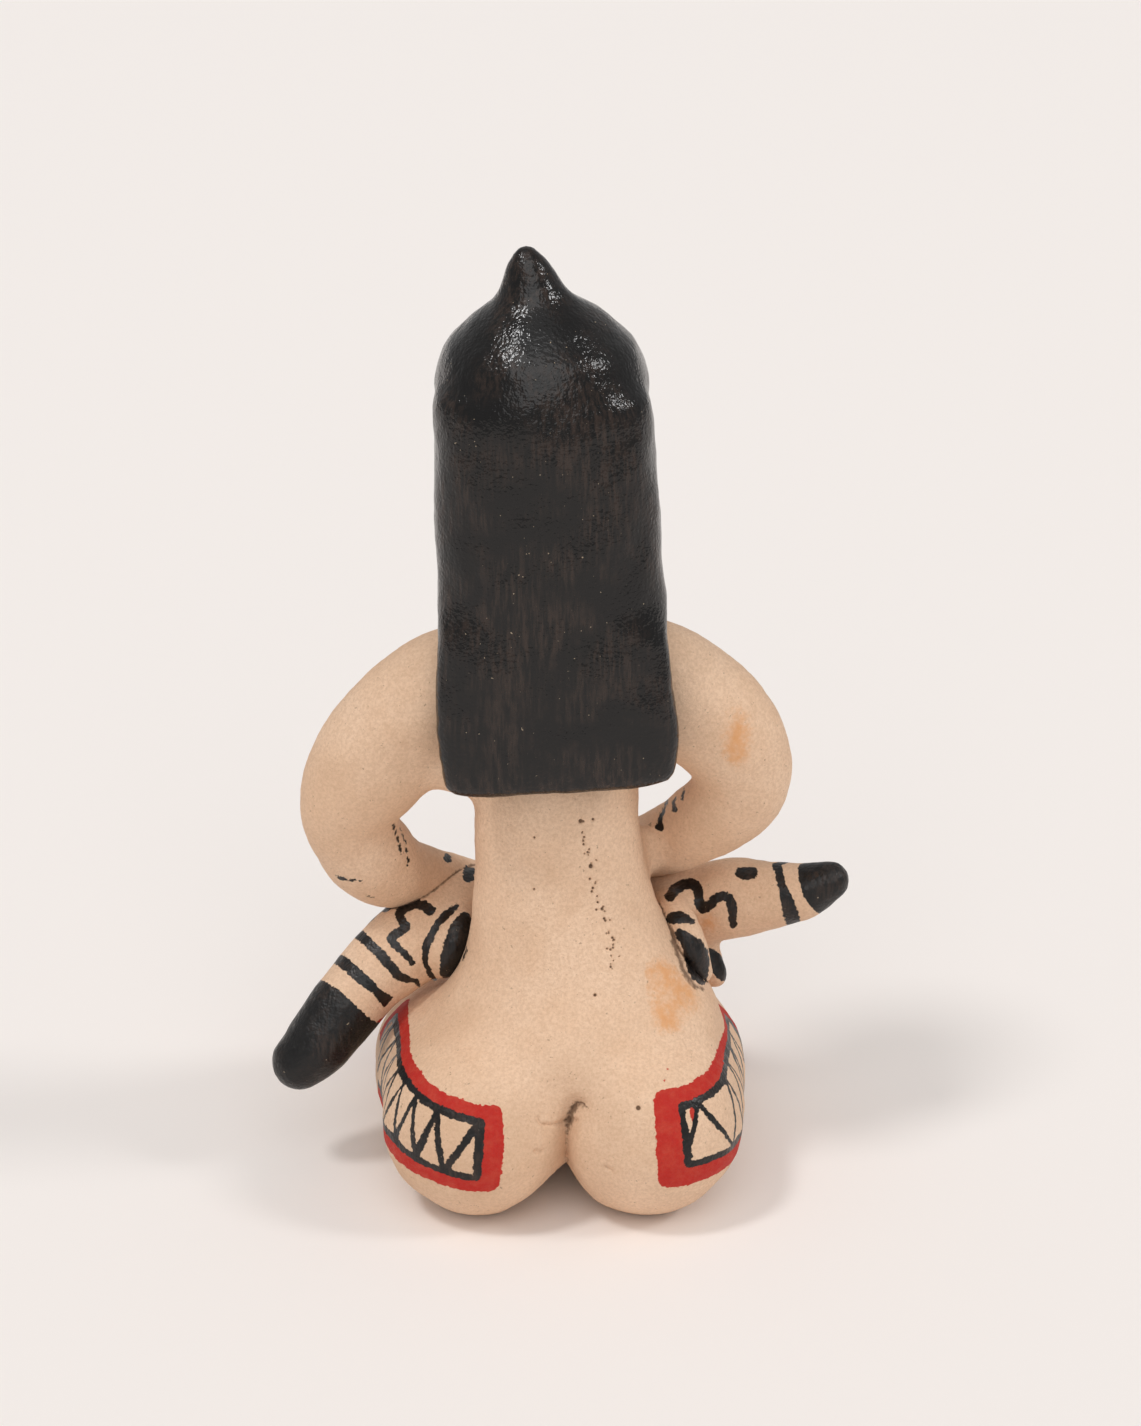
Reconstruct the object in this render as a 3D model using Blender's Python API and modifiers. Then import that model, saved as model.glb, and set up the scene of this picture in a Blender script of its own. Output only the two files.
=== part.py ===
"""A hand-modelled ceramic doll: a seated woman with long hair who holds a four-legged animal in her arms.

The clay was coiled, pressed together and fired as one piece, so the whole figure is one solid.
X runs to the figure's left, -Y is the way she faces and Z is up. The origin is the middle of the footprint.
"""

import math

import bmesh
import bpy
import numpy as np
from mathutils import Matrix, Vector

# Driving sizes, in metres
FIGURE_HEIGHT = 0.192
HIP_BLEND = 0.0042
ARM_BLEND = 0.0016
ANIMAL_BLEND = 0.0012
FACE_BLEND = 0.0008
HAIR_SLAB = 0.0086
HAIR_HEM = 0.0888
HEM_SLOPE = 0.06
BANGS_STEP = 0.0014
CLAY_GRAIN = 0.0012
SEAM_PASSES = 2
SOLID_TRIANGLES = 9000
AXIS_PLACE = (0.0, 0.0136)

# One unit is a millimetre of the figure at its real height: poses and proportions below are in units
UNIT = FIGURE_HEIGHT / 192.0

# The cleft between the buttocks, in units: the height of its top, its place aside at the floor and how far it
# leans at the top, how deep it is at the floor and just under its top, and how far aside it reaches
CLEFT_TOP = 28.0
CLEFT_LINE = -1.4
CLEFT_LEAN = 2.0
CLEFT_DEPTH = 6.5
CLEFT_START = 3.2
CLEFT_REACH = 8.5

# The name of the node, and its finish
NODE_NAME = "ceramic_doll"
CLAY_COLOUR = (0.72, 0.50, 0.35, 1.0)
CLAY_ROUGHNESS = 0.6

RING_POINTS = 40
TUBE_STEPS = 8
CAP_STEPS = 5


# Curves and lofts

def smooth_rows(rows, steps=TUBE_STEPS):
    """Catmull-Rom curve through every row of numbers, with steps points between one row and the next."""
    rows = np.asarray(rows, float)
    ends = np.vstack([2 * rows[0] - rows[1], rows, 2 * rows[-1] - rows[-2]])
    t = np.linspace(0, 1, steps, endpoint=False)[:, None]
    parts = []
    for a, b, c, d in zip(ends[:-3], ends[1:-2], ends[2:-1], ends[3:]):
        parts.append(0.5 * (2 * b + (c - a) * t + (2 * a - 5 * b + 4 * c - d) * t**2
                            + (3 * b - a - 3 * c + d) * t**3))
    return np.vstack([*parts, rows[-1:]])


def rounded_ends(rows):
    """Adds to each end of a limb the stations of a half ball, so that it closes round and not flat."""
    angles = np.linspace(0, 0.5 * math.pi, CAP_STEPS + 1)[1:, None]
    caps = []
    for end, inner in ((rows[0], rows[1]), (rows[-1], rows[-2])):
        out = end[:3] - inner[:3]
        out /= np.linalg.norm(out)
        places = end[:3] + out * end[3] * np.sin(angles)
        radii = np.maximum(end[3] * np.cos(angles), 0.02 * end[3])
        caps.append(np.hstack([places, radii]))
    return np.vstack([caps[0][::-1], rows, caps[1]])


def limb(name, stations, depth=1.0):
    """A round coil of clay through (x, y, z, radius) stations in units, drawn out or flattened in Y by depth."""
    rows = np.asarray(stations, float) * UNIT
    rows[:, 1] /= depth
    rows = rounded_ends(smooth_rows(rows))
    curve = bpy.data.curves.new(name, "CURVE")
    curve.dimensions = "3D"
    curve.bevel_depth = 1.0
    curve.bevel_resolution = 6
    curve.use_fill_caps = True
    spline = curve.splines.new("POLY")
    spline.points.add(len(rows) - 1)
    spline.points.foreach_set("co", np.hstack([rows[:, :3], np.ones((len(rows), 1))]).ravel())
    spline.points.foreach_set("radius", rows[:, 3])
    obj = bpy.data.objects.new(name, curve)
    obj.scale = (1.0, depth, 1.0)
    return obj


def loft(name, sections):
    """A closed skin over level rings. Each section is (z, centre x, half width, back y, front y, squareness).

    A ring is a superellipse: squareness 2 is an ellipse, and a larger one is a rounded oblong.
    """
    rows = smooth_rows(sections)
    angle = np.linspace(0, 2 * math.pi, RING_POINTS, endpoint=False)
    z, middle, half, back, front, square = (column[:, None] for column in rows.T)
    power = 2.0 / square
    across = np.sign(np.cos(angle)) * np.abs(np.cos(angle)) ** power
    along = np.sign(np.sin(angle)) * np.abs(np.sin(angle)) ** power
    x = middle + half * across
    y = 0.5 * (back + front) + 0.5 * (back - front) * along
    points = np.stack([x, y, np.broadcast_to(z, x.shape)], axis=-1) * UNIT
    shape = bmesh.new()
    rings = [[shape.verts.new(p) for p in ring] for ring in points]
    for low, high in zip(rings[:-1], rings[1:]):
        for i in range(RING_POINTS):
            j = (i + 1) % RING_POINTS
            shape.faces.new((low[i], low[j], high[j], high[i]))
    shape.faces.new(rings[0])
    shape.faces.new(rings[-1])
    bmesh.ops.recalc_face_normals(shape, faces=shape.faces)
    mesh = bpy.data.meshes.new(name)
    shape.to_mesh(mesh)
    shape.free()
    return bpy.data.objects.new(name, mesh)


def ball(name, centre, radii, turn=(0.0, 0.0, 0.0)):
    """An ellipsoid of clay, in units, turned by degrees about X, Y and Z."""
    shape = bmesh.new()
    bmesh.ops.create_uvsphere(shape, u_segments=32, v_segments=20, radius=UNIT)
    spin = Matrix.Rotation(math.radians(turn[2]), 4, "Z") @ Matrix.Rotation(math.radians(turn[1]), 4, "Y")
    spin = spin @ Matrix.Rotation(math.radians(turn[0]), 4, "X")
    place = Matrix.Translation(Vector(centre) * UNIT) @ spin @ Matrix.Diagonal((*radii, 1.0))
    bmesh.ops.transform(shape, matrix=place, verts=shape.verts)
    mesh = bpy.data.meshes.new(name)
    shape.to_mesh(mesh)
    shape.free()
    return bpy.data.objects.new(name, mesh)


# Pressing forms together

def settled_mesh(obj):
    """The object as its modifiers leave it, as a mesh in world space. The object itself is removed."""
    bpy.context.scene.collection.objects.link(obj)
    bpy.context.view_layer.update()
    graph = bpy.context.evaluated_depsgraph_get()
    mesh = bpy.data.meshes.new_from_object(obj.evaluated_get(graph))
    mesh.transform(obj.matrix_world)
    bpy.data.objects.remove(obj)
    return mesh


def gathered(name, forms):
    """One object that holds every form as its own closed skin, with a curve's caps welded to its sides."""
    shape = bmesh.new()
    for form in forms:
        shape.from_mesh(settled_mesh(form))
    bmesh.ops.remove_doubles(shape, verts=shape.verts, dist=1e-6)
    mesh = bpy.data.meshes.new(name)
    shape.to_mesh(mesh)
    shape.free()
    return bpy.data.objects.new(name, mesh)


def add_remesh(obj):
    fuse = obj.modifiers.new("fuse", "REMESH")
    fuse.mode = "VOXEL"
    fuse.voxel_size = CLAY_GRAIN


def add_displace(obj, distance):
    swell = obj.modifiers.new("swell", "DISPLACE")
    swell.strength = distance
    swell.mid_level = 0.0


def add_smooth(obj, passes):
    soften = obj.modifiers.new("soften", "SMOOTH")
    soften.factor = 0.5
    soften.iterations = int(passes)


def pressed(name, forms, blend):
    """Forms fused to one skin, with each inner corner filled to a radius of blend.

    The skin swells by blend, which closes the corners, and shrinks back by as much.
    """
    obj = gathered(name, forms)
    add_remesh(obj)
    add_displace(obj, blend)
    add_remesh(obj)
    add_smooth(obj, SEAM_PASSES)
    add_displace(obj, -blend)
    add_remesh(obj)
    add_smooth(obj, SEAM_PASSES)
    return obj


# The woman's body

def torso():
    return loft("torso", [
        (4, -1.6, 22, 16, -12, 2.2),
        (14, -1.6, 29, 21, -17, 2.2),
        (24, -1.6, 31, 25.5, -18, 2.2),
        (32, -2.2, 30.5, 27, -17.5, 2.1),
        (38, -3.4, 28.0, 24.5, -17, 2.1),
        (43, -3.6, 24.6, 21, -16.5, 2.1),
        (48, -3.2, 22.0, 18.5, -16, 2.1),
        (54, -1.7, 19.6, 16.2, -15, 2.1),
        (61, -0.4, 17.9, 14.6, -14.2, 2.1),
        (70, 0.3, 16.7, 13.6, -13.6, 2.1),
        (84, 0.6, 16.2, 13.2, -13.5, 2.1),
        (100, 0.6, 17.5, 12.6, -12.6, 2.1),
        (111, 0.7, 15.0, 11.2, -11.2, 2.1),
        (117, 0.9, 11.5, 9.8, -9.8, 2.0),
        (126, 1.4, 9.8, 8.8, -9.2, 2.0),
        (140, 2.2, 9.4, 8.2, -8.4, 2.0),
    ])


def leg(side, start, out):
    """One leg stretched out in front, from the round buttock to the toe, lying on its flat underside."""
    stations = [
        (start, 16.8, 18.3, 19.5),
        (start + side * 0.8, 6.0, 18.3, 19.5),
        (start + side * (2.6 + 0.5 * out), -6.0, 17.7, 18.9),
        (start + side * (4.2 + out), -17.0, 15.6, 17.0),
        (start + side * (6.0 + out), -28.0, 12.8, 14.1),
        (start + side * (7.7 + out), -38.0, 10.1, 11.3),
        (start + side * (9.0 + out), -47.0, 8.0, 8.9),
        (start + side * (10.0 + out), -54.0, 7.2, 6.8),
        (start + side * (10.4 + out), -59.0, 7.6, 5.2),
    ]
    return limb("leg", stations)


def arms():
    """Two thick arms, each from the shoulder round the elbow and forwards to the hand on the animal's side."""
    left = [
        (10.0, 0.0, 106.6, 10.6),
        (18.5, 0.0, 104.6, 12.0),
        (25.8, 0.0, 100.4, 12.4),
        (32.0, -0.5, 94.4, 12.3),
        (37.2, -1.0, 87.4, 12.0),
        (40.8, -2.0, 80.4, 10.7),
        (42.0, -3.2, 73.9, 9.0),
        (38.9, -6.2, 66.3, 9.3),
        (34.2, -10.8, 59.9, 8.3),
        (27.4, -17.2, 55.4, 6.4),
        (20.0, -24.6, 50.8, 5.5),
        (13.0, -30.4, 45.4, 4.7),
        (9.0, -32.6, 40.8, 3.8),
    ]
    right = [
        (-9.0, 0.0, 107.5, 10.6),
        (-17.0, 0.0, 106.2, 11.8),
        (-24.4, 0.0, 101.4, 12.0),
        (-31.2, -0.5, 95.6, 11.4),
        (-35.2, -1.0, 89.0, 10.2),
        (-35.8, -2.0, 82.2, 9.4),
        (-32.6, -4.2, 76.6, 8.8),
        (-27.6, -8.4, 71.0, 8.0),
        (-21.8, -14.2, 64.9, 7.3),
        (-15.0, -21.4, 59.4, 6.1),
        (-9.0, -28.0, 53.0, 5.0),
        (-5.6, -32.0, 46.6, 3.9),
    ]
    return [limb("arm", stations, depth=0.84) for stations in (left, right)]


def armpit():
    """The web of clay that joins the left arm to her side."""
    return ball("armpit", (19.5, -0.5, 89.3), (8.2, 8.4, 7.6))


def breasts():
    return [ball("breast", (0.6 + side * 8.0, -12.5, 92.5), (6.4, 6.0, 6.8)) for side in (-1, 1)]


# The animal across her lap

def animal_forms():
    trunk = limb("trunk", [
        (-54.3, -8.0, 58.9, 4.0),
        (-50.8, -9.0, 56.8, 5.2),
        (-47.4, -10.0, 55.2, 6.1),
        (-41.7, -12.0, 53.6, 7.4),
        (-36.5, -14.0, 52.2, 8.4),
        (-30.2, -16.5, 50.0, 8.5),
        (-23.5, -19.0, 48.4, 8.8),
        (-16.4, -21.4, 47.0, 9.2),
        (-2.0, -24.0, 45.0, 9.7),
        (12.5, -21.5, 45.6, 10.0),
        (21.5, -15.5, 46.6, 10.2),
        (29.5, -9.5, 45.1, 8.9),
        (34.5, -6.5, 42.0, 8.3),
        (38.9, -4.0, 38.6, 7.7),
        (42.9, -1.5, 34.4, 7.5),
        (46.5, 0.5, 30.2, 7.0),
        (50.0, 2.0, 25.8, 6.6),
        (52.6, 3.0, 23.4, 5.8),
    ])
    fore_near = limb("fore_near", [(-21.0, -13.0, 52.0, 3.4), (-23.0, -3.0, 54.0, 3.3), (-25.4, 2.0, 50.5, 3.4),
                                   (-27.4, 2.0, 45.5, 3.0), (-28.4, 1.0, 42.6, 2.5)])
    fore_far = limb("fore_far", [(-26.0, -20.0, 47.0, 3.6), (-28.4, -18.4, 42.6, 3.2), (-30.0, -16.6, 38.6, 3.0),
                                 (-31.5, -14.6, 34.4, 2.9)])
    hind_near = ball("hind_near", (22.0, -6.4, 46.0), (4.3, 7.0, 8.0), turn=(0.0, -17.0, 0.0))
    hind_far = limb("hind_far", [(14.0, -26.0, 44.0, 4.4), (15.5, -29.0, 38.6, 3.6), (16.0, -30.5, 34.0, 3.2)])
    return [trunk, fore_near, fore_far, hind_near, hind_far]


# The head and the hair

def head():
    return loft("head", [
        (124.5, 1.6, 4.0, 2.0, -10.0, 2.0),
        (126.0, 1.7, 8.0, 5.0, -14.5, 2.0),
        (130.0, 1.9, 12.0, 8.0, -18.4, 2.1),
        (136.0, 2.3, 15.4, 11.0, -20.2, 2.2),
        (144.0, 2.6, 17.4, 14.0, -20.8, 2.3),
        (153.0, 3.0, 18.4, 16.0, -21.0, 2.3),
        (163.0, 3.3, 18.0, 16.0, -20.6, 2.2),
        (170.0, 3.5, 15.5, 13.0, -18.4, 2.1),
        (175.0, 3.6, 10.0, 8.0, -12.0, 2.0),
    ])


def hair():
    """A helmet of hair: a dome with a peak on the crown, cut across the forehead, and a fall down the back."""
    slab = HAIR_SLAB / UNIT
    hem = HAIR_HEM / UNIT
    fall = loft("fall", [
        (hem, 0.0, 17.0, 18.4, 19.6 - 0.6 * slab, 2.4),
        (hem + 0.6, 0.0, 20.6, 19.6, 20.2 - 0.9 * slab, 2.8),
        (hem + 2.4, 0.1, 22.2, 20.4, 20.8 - slab, 3.0),
        (hem + 7.0, 0.1, 22.8, 20.8, 21.0 - slab, 3.0),
        (107.0, 0.8, 22.7, 20.9, 21.0 - 1.1 * slab, 2.9),
        (117.0, 1.3, 22.4, 20.7, 8.0, 2.7),
        (126.0, 1.7, 21.8, 20.4, -3.0, 2.5),
        (135.0, 1.9, 21.3, 20.3, -5.0, 2.4),
        (145.0, 2.4, 21.3, 20.2, -6.0, 2.4),
        (155.0, 2.8, 20.8, 19.8, -7.0, 2.3),
        (164.0, 3.3, 20.4, 18.8, -8.0, 2.2),
        (169.0, 3.4, 19.2, 17.2, -8.0, 2.1),
    ])
    for vertex in fall.data.vertices:
        low = min(1.0, max(0.0, (0.112 - vertex.co.z) / 0.022))
        vertex.co.z -= HEM_SLOPE * vertex.co.x * low
    step = BANGS_STEP / UNIT
    dome = loft("dome", [
        (162.0, 3.2, 17.5, 16.0, -19.2, 2.2),
        (162.6, 3.2, 19.8, 18.6, -20.8 - step, 2.2),
        (165.0, 3.3, 20.3, 18.6, -20.6 - step, 2.2),
        (168.5, 3.4, 19.6, 17.6, -19.6 - step, 2.15),
        (172.8, 3.5, 17.7, 15.6, -17.6 - step, 2.1),
        (175.6, 3.6, 14.9, 13.1, -15.0 - step, 2.05),
        (177.8, 3.6, 12.9, 11.2, -12.2 - step, 2.0),
        (179.9, 3.8, 10.0, 8.8, -9.4 - step, 2.0),
        (181.8, 4.4, 7.5, 6.8, -7.2, 2.0),
        (183.7, 5.0, 6.2, 5.6, -5.8, 2.0),
        (185.6, 5.3, 5.3, 4.7, -4.9, 2.0),
        (187.6, 5.6, 4.4, 4.0, -4.1, 2.0),
        (189.6, 5.9, 3.2, 2.9, -2.9, 2.0),
        (191.4, 6.2, 1.5, 1.4, -1.4, 2.0),
        (192.0, 6.2, 0.6, 0.6, -0.6, 2.0),
    ])
    return [fall, dome]


def face_forms():
    nose = limb("nose", [(3.2, -20.2, 155.0, 1.0), (2.9, -21.2, 151.0, 1.5), (2.7, -21.8, 147.5, 1.9)])
    return [head(), nose]


# The finished piece

def cleft_pressed(mesh):
    """Presses the cleft between the buttocks forwards into the back of the mesh, with a sharp line at its bottom.

    The push is the depth times the 2.5th power of (1 - aside / reach). Depth and reach both grow from the cleft's top down.
    """
    places = np.empty(len(mesh.vertices) * 3)
    mesh.vertices.foreach_get("co", places)
    x, y, z = places.reshape(-1, 3).T / UNIT
    line = CLEFT_LINE - CLEFT_LEAN * np.clip((z - 18.0) / 8.0, 0.0, 1.0) ** 2
    low = np.clip(1.0 - z / CLEFT_TOP, 0.0, 1.0)
    depth = CLEFT_DEPTH * low + CLEFT_START * np.clip(low / 0.1, 0.0, 1.0)
    aside = np.abs(x - line) / (CLEFT_REACH * (0.5 + 0.5 * low))
    push = depth * np.clip(1.0 - aside, 0.0, 1.0) ** 2.5 * np.clip((y - 18.0) / 15.0, 0.0, 1.0)
    mesh.vertices.foreach_set("co", (np.stack([x, y - push, z], axis=1) * UNIT).ravel())


def trimmed(obj):
    """Cuts the underside flat, where the soft clay stood on the board, and moves the body's axis to its place."""
    shape = bmesh.new()
    shape.from_mesh(settled_mesh(obj))
    everything = [*shape.verts, *shape.edges, *shape.faces]
    cut = bmesh.ops.bisect_plane(shape, geom=everything, dist=1e-7, plane_co=(0, 0, 0), plane_no=(0, 0, -1),
                                 clear_outer=True)
    rim = [e for e in cut["geom_cut"] if isinstance(e, bmesh.types.BMEdge)]
    bmesh.ops.contextual_create(shape, geom=rim)
    bmesh.ops.triangulate(shape, faces=shape.faces)
    bmesh.ops.translate(shape, verts=shape.verts, vec=(*AXIS_PLACE, 0.0))
    bmesh.ops.recalc_face_normals(shape, faces=shape.faces)
    mesh = bpy.data.meshes.new(NODE_NAME)
    shape.to_mesh(mesh)
    shape.free()
    return mesh


def thinned(obj):
    """Fewer faces where the skin is nearly flat, down to the solid's budget."""
    add_remesh(obj)
    add_smooth(obj, SEAM_PASSES)
    faces = obj.modifiers.new("triangles", "TRIANGULATE")
    faces.quad_method = "SHORTEST_DIAGONAL"
    mesh = settled_mesh(obj)
    cleft_pressed(mesh)
    thin = bpy.data.objects.new("thin", mesh)
    reduce = thin.modifiers.new("reduce", "DECIMATE")
    reduce.ratio = min(1.0, SOLID_TRIANGLES / len(mesh.polygons))
    return thin


def clay():
    material = bpy.data.materials.new("fired_clay")
    material.use_nodes = True
    shader = material.node_tree.nodes["Principled BSDF"]
    shader.inputs["Base Color"].default_value = CLAY_COLOUR
    shader.inputs["Roughness"].default_value = CLAY_ROUGHNESS
    shader.inputs["Metallic"].default_value = 0.0
    return material


def main():
    for obj in list(bpy.data.objects):
        bpy.data.objects.remove(obj)
    hips = pressed("hips", [torso(), leg(1, 16.0, 1.4), leg(-1, -17.0, -1.2)], HIP_BLEND)
    body = pressed("body", [hips, *arms(), armpit(), *breasts()], ARM_BLEND)
    animal = pressed("animal", animal_forms(), ANIMAL_BLEND)
    face = pressed("face", face_forms(), FACE_BLEND)
    whole = gathered("whole", [body, animal, face, *hair()])
    mesh = trimmed(thinned(whole))
    mesh.materials.append(clay())
    mesh.shade_smooth()
    collection = bpy.data.collections.new(NODE_NAME)
    bpy.context.scene.collection.children.link(collection)
    collection.objects.link(bpy.data.objects.new(NODE_NAME, mesh))


main()
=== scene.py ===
"""Scene for a hand-modelled, painted ceramic doll, seen from behind and a little above."""

import math

import bmesh
import bpy
import numpy as np
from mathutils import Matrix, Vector
from mathutils.bvhtree import BVHTree


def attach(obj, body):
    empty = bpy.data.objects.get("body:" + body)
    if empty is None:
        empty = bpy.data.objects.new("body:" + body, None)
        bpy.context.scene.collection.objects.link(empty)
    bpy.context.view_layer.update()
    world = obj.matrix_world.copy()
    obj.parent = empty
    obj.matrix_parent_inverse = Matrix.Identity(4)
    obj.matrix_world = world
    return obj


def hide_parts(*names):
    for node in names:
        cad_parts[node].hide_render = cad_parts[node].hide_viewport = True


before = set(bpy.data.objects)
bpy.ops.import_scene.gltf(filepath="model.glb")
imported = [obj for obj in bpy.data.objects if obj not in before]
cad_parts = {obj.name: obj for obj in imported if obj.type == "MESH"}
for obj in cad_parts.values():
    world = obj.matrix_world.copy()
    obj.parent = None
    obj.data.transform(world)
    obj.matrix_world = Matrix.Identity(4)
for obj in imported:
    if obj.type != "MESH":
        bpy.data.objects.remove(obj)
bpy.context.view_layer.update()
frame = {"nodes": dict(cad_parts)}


# The hips, legs and torso. One thick column of clay flares into two round buttocks, with the legs rolled out
# in front of it. The joints are smeared shut with a wet finger, so the corners are soft. Sizes are in mm from
# the doll's own upright axis, which stands at BODY_AXIS.

MM = 0.001
BODY_AXIS = np.array([0.0, 13.6, 0.0])
RING_POINTS = 64
STEPS_BETWEEN_STATIONS = 12
DOME_STEPS = 8
TIP_SHARE = 0.02
BALL_RINGS = 25
BALL_POINTS = 40
SOFTEN_SHARE = 0.5
SOFTEN_TURNS = 2
BODY_GRAIN = 1.16
HIP_BLEND = 4.2
LEFT_HIP, LEFT_TURN = 16.0, 1.4
RIGHT_HIP, RIGHT_TURN = -17.0, -1.2
LEG = [
    (0.0, 0.0, 16.8, 18.3, 19.5),
    (0.8, 0.0, 6.0, 18.3, 19.5),
    (2.6, 0.5, -6.0, 17.7, 18.9),
    (4.2, 1.0, -17.0, 15.6, 17.0),
    (6.0, 1.0, -28.0, 12.8, 14.1),
    (7.7, 1.0, -38.0, 10.1, 11.3),
    (9.0, 1.0, -47.0, 8.0, 8.9),
    (10.0, 1.0, -54.0, 7.2, 6.8),
    (10.4, 1.0, -59.0, 7.6, 5.2),
]
TORSO_RINGS = [
    (4, -1.6, 22, 16, -12, 2.2),
    (14, -1.6, 29, 21, -17, 2.2),
    (24, -1.6, 31, 25.5, -18, 2.2),
    (32, -2.2, 30.5, 27, -17.5, 2.1),
    (38, -3.4, 28.0, 24.5, -17, 2.1),
    (43, -3.6, 24.6, 21, -16.5, 2.1),
    (48, -3.2, 22.0, 18.5, -16, 2.1),
    (54, -1.7, 19.6, 16.2, -15, 2.1),
    (61, -0.4, 17.9, 14.6, -14.2, 2.1),
    (70, 0.3, 16.7, 13.6, -13.6, 2.1),
    (84, 0.6, 16.2, 13.2, -13.5, 2.1),
    (100, 0.6, 17.5, 12.6, -12.6, 2.1),
    (111, 0.7, 15.0, 11.2, -11.2, 2.1),
    (117, 0.9, 11.5, 9.8, -9.8, 2.0),
    (126, 1.4, 9.8, 8.8, -9.2, 2.0),
    (140, 2.2, 9.4, 8.2, -8.4, 2.0),
]


def smooth_rows(rows, steps=STEPS_BETWEEN_STATIONS):
    """Catmull-Rom curve through rows a, b, c, d: half of 2b + (c-a)t + (2a-5b+4c-d)t^2 + (3b-a-3c+d)t^3."""
    rows = np.asarray(rows, float)
    ends = np.vstack([2 * rows[0] - rows[1], rows, 2 * rows[-1] - rows[-2]])
    a, b, c, d = (ends[i : len(ends) - 3 + i, None] for i in range(4))
    t = np.linspace(0, 1, steps, endpoint=False)[None, :, None]
    curve = 0.5 * (2 * b + (c - a) * t + (2 * a - 5 * b + 4 * c - d) * t**2 + (3 * b - a - 3 * c + d) * t**3)
    return np.vstack([curve.reshape(-1, rows.shape[1]), rows[-1:]])


def skin(grid):
    """A closed mesh over a grid of rings: a quad between neighbours, and one flat face on each end ring."""
    rows, columns = grid.shape[:2]
    corner = np.arange(rows * columns).reshape(rows, columns)
    beside = np.roll(corner, -1, axis=1)
    quads = np.stack([corner[:-1], beside[:-1], beside[1:], corner[1:]], axis=-1).reshape(-1, 4)
    mesh = bpy.data.meshes.new("clay")
    mesh.from_pydata(grid.reshape(-1, 3), [], [*quads.tolist(), corner[0].tolist(), corner[-1].tolist()])
    shape = bmesh.new()
    shape.from_mesh(mesh)
    bmesh.ops.recalc_face_normals(shape, faces=shape.faces)
    shape.to_mesh(mesh)
    shape.free()
    return bpy.data.objects.new("clay", mesh)


def ring_skin(sections):
    """Level rings (z, centre x, half width, back y, front y, squareness s): x and y run as cosine and sine,
    each raised to the power 2/s with its sign kept, so s = 2 is an ellipse and a larger s a rounded
    oblong."""
    z, middle, half, back, front, square = (column[:, None] for column in smooth_rows(sections).T)
    angle = np.linspace(0, 2 * np.pi, RING_POINTS, endpoint=False)
    across = np.sign(np.cos(angle)) * np.abs(np.cos(angle)) ** (2 / square)
    along = np.sign(np.sin(angle)) * np.abs(np.sin(angle)) ** (2 / square)
    x = middle + half * across
    y = 0.5 * (back + front) + 0.5 * (back - front) * along
    return np.stack([x, y, np.broadcast_to(z, x.shape)], axis=-1)


def coil_skin(stations, aside, depth=1.0):
    """A circle of radius r carried along the curve through (x, y, z, r), square to the curve, with half a
    ball on each end: there the centre moves out by r sin(a) while the radius is r cos(a). The Y of it all
    is times depth."""
    rows = smooth_rows(stations)
    rows[:, 1] /= depth
    tilt = np.linspace(0, 0.5 * np.pi, DOME_STEPS + 1)[1:, None]
    domes = []
    for end, inner in ((rows[0], rows[1]), (rows[-1], rows[-2])):
        out = (end[:3] - inner[:3]) / np.linalg.norm(end[:3] - inner[:3])
        radii = np.maximum(end[3] * np.cos(tilt), TIP_SHARE * end[3])
        domes.append(np.hstack([end[:3] + out * end[3] * np.sin(tilt), radii]))
    rows = np.vstack([domes[0][::-1], rows, domes[1]])
    path, radius = rows[:, :3], rows[:, 3:]
    along = np.gradient(path, axis=0)
    along /= np.linalg.norm(along, axis=1, keepdims=True)
    first = np.asarray(aside, float) - along * (along @ np.asarray(aside, float))[:, None]
    first /= np.linalg.norm(first, axis=1, keepdims=True)
    second = np.cross(along, first)
    angle = np.linspace(0, 2 * np.pi, RING_POINTS // 2, endpoint=False)[None, :, None]
    ring = np.cos(angle) * first[:, None] + np.sin(angle) * second[:, None]
    grid = path[:, None] + radius[:, None] * ring
    grid[..., 1] *= depth
    return grid


def ball_skin(centre, radii, turn_y=0.0):
    """An ellipsoid on a grid of latitude and longitude: radii times the unit ball, turned about Y, at
    centre."""
    up = np.linspace(-0.5 * np.pi, 0.5 * np.pi, BALL_RINGS + 2)[1:-1, None]
    round_z = np.linspace(0, 2 * np.pi, BALL_POINTS, endpoint=False)[None]
    unit = np.broadcast_arrays(np.cos(up) * np.cos(round_z), np.cos(up) * np.sin(round_z), np.sin(up))
    a = math.radians(turn_y)
    turn = np.array([[math.cos(a), 0, math.sin(a)], [0, 1, 0], [-math.sin(a), 0, math.cos(a)]])
    return (np.stack(unit, axis=-1) * radii) @ turn.T + np.asarray(centre, float)


def fused(name, forms, grain, blend):
    """Forms as one skin of faces about as wide as grain. It swells by blend, shrinks back, which fills each
    inner corner to that radius, and is softened."""
    shape = bmesh.new()
    for form in forms:
        if isinstance(form, np.ndarray):
            form = skin(form * MM)
        shape.from_mesh(form.data)
        bpy.data.objects.remove(form)
    mesh = bpy.data.meshes.new(name)
    shape.to_mesh(mesh)
    shape.free()
    obj = bpy.data.objects.new(name, mesh)
    bpy.context.scene.collection.objects.link(obj)
    for swell in (0.0, blend, -blend):
        if swell:
            push = obj.modifiers.new("push", "DISPLACE")
            push.strength = swell * MM
            push.mid_level = 0.0
        fuse = obj.modifiers.new("fuse", "REMESH")
        fuse.mode = "VOXEL"
        fuse.voxel_size = grain * MM
    soften = obj.modifiers.new("soften", "SMOOTH")
    soften.factor = SOFTEN_SHARE
    soften.iterations = SOFTEN_TURNS
    return settled(obj)


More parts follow.
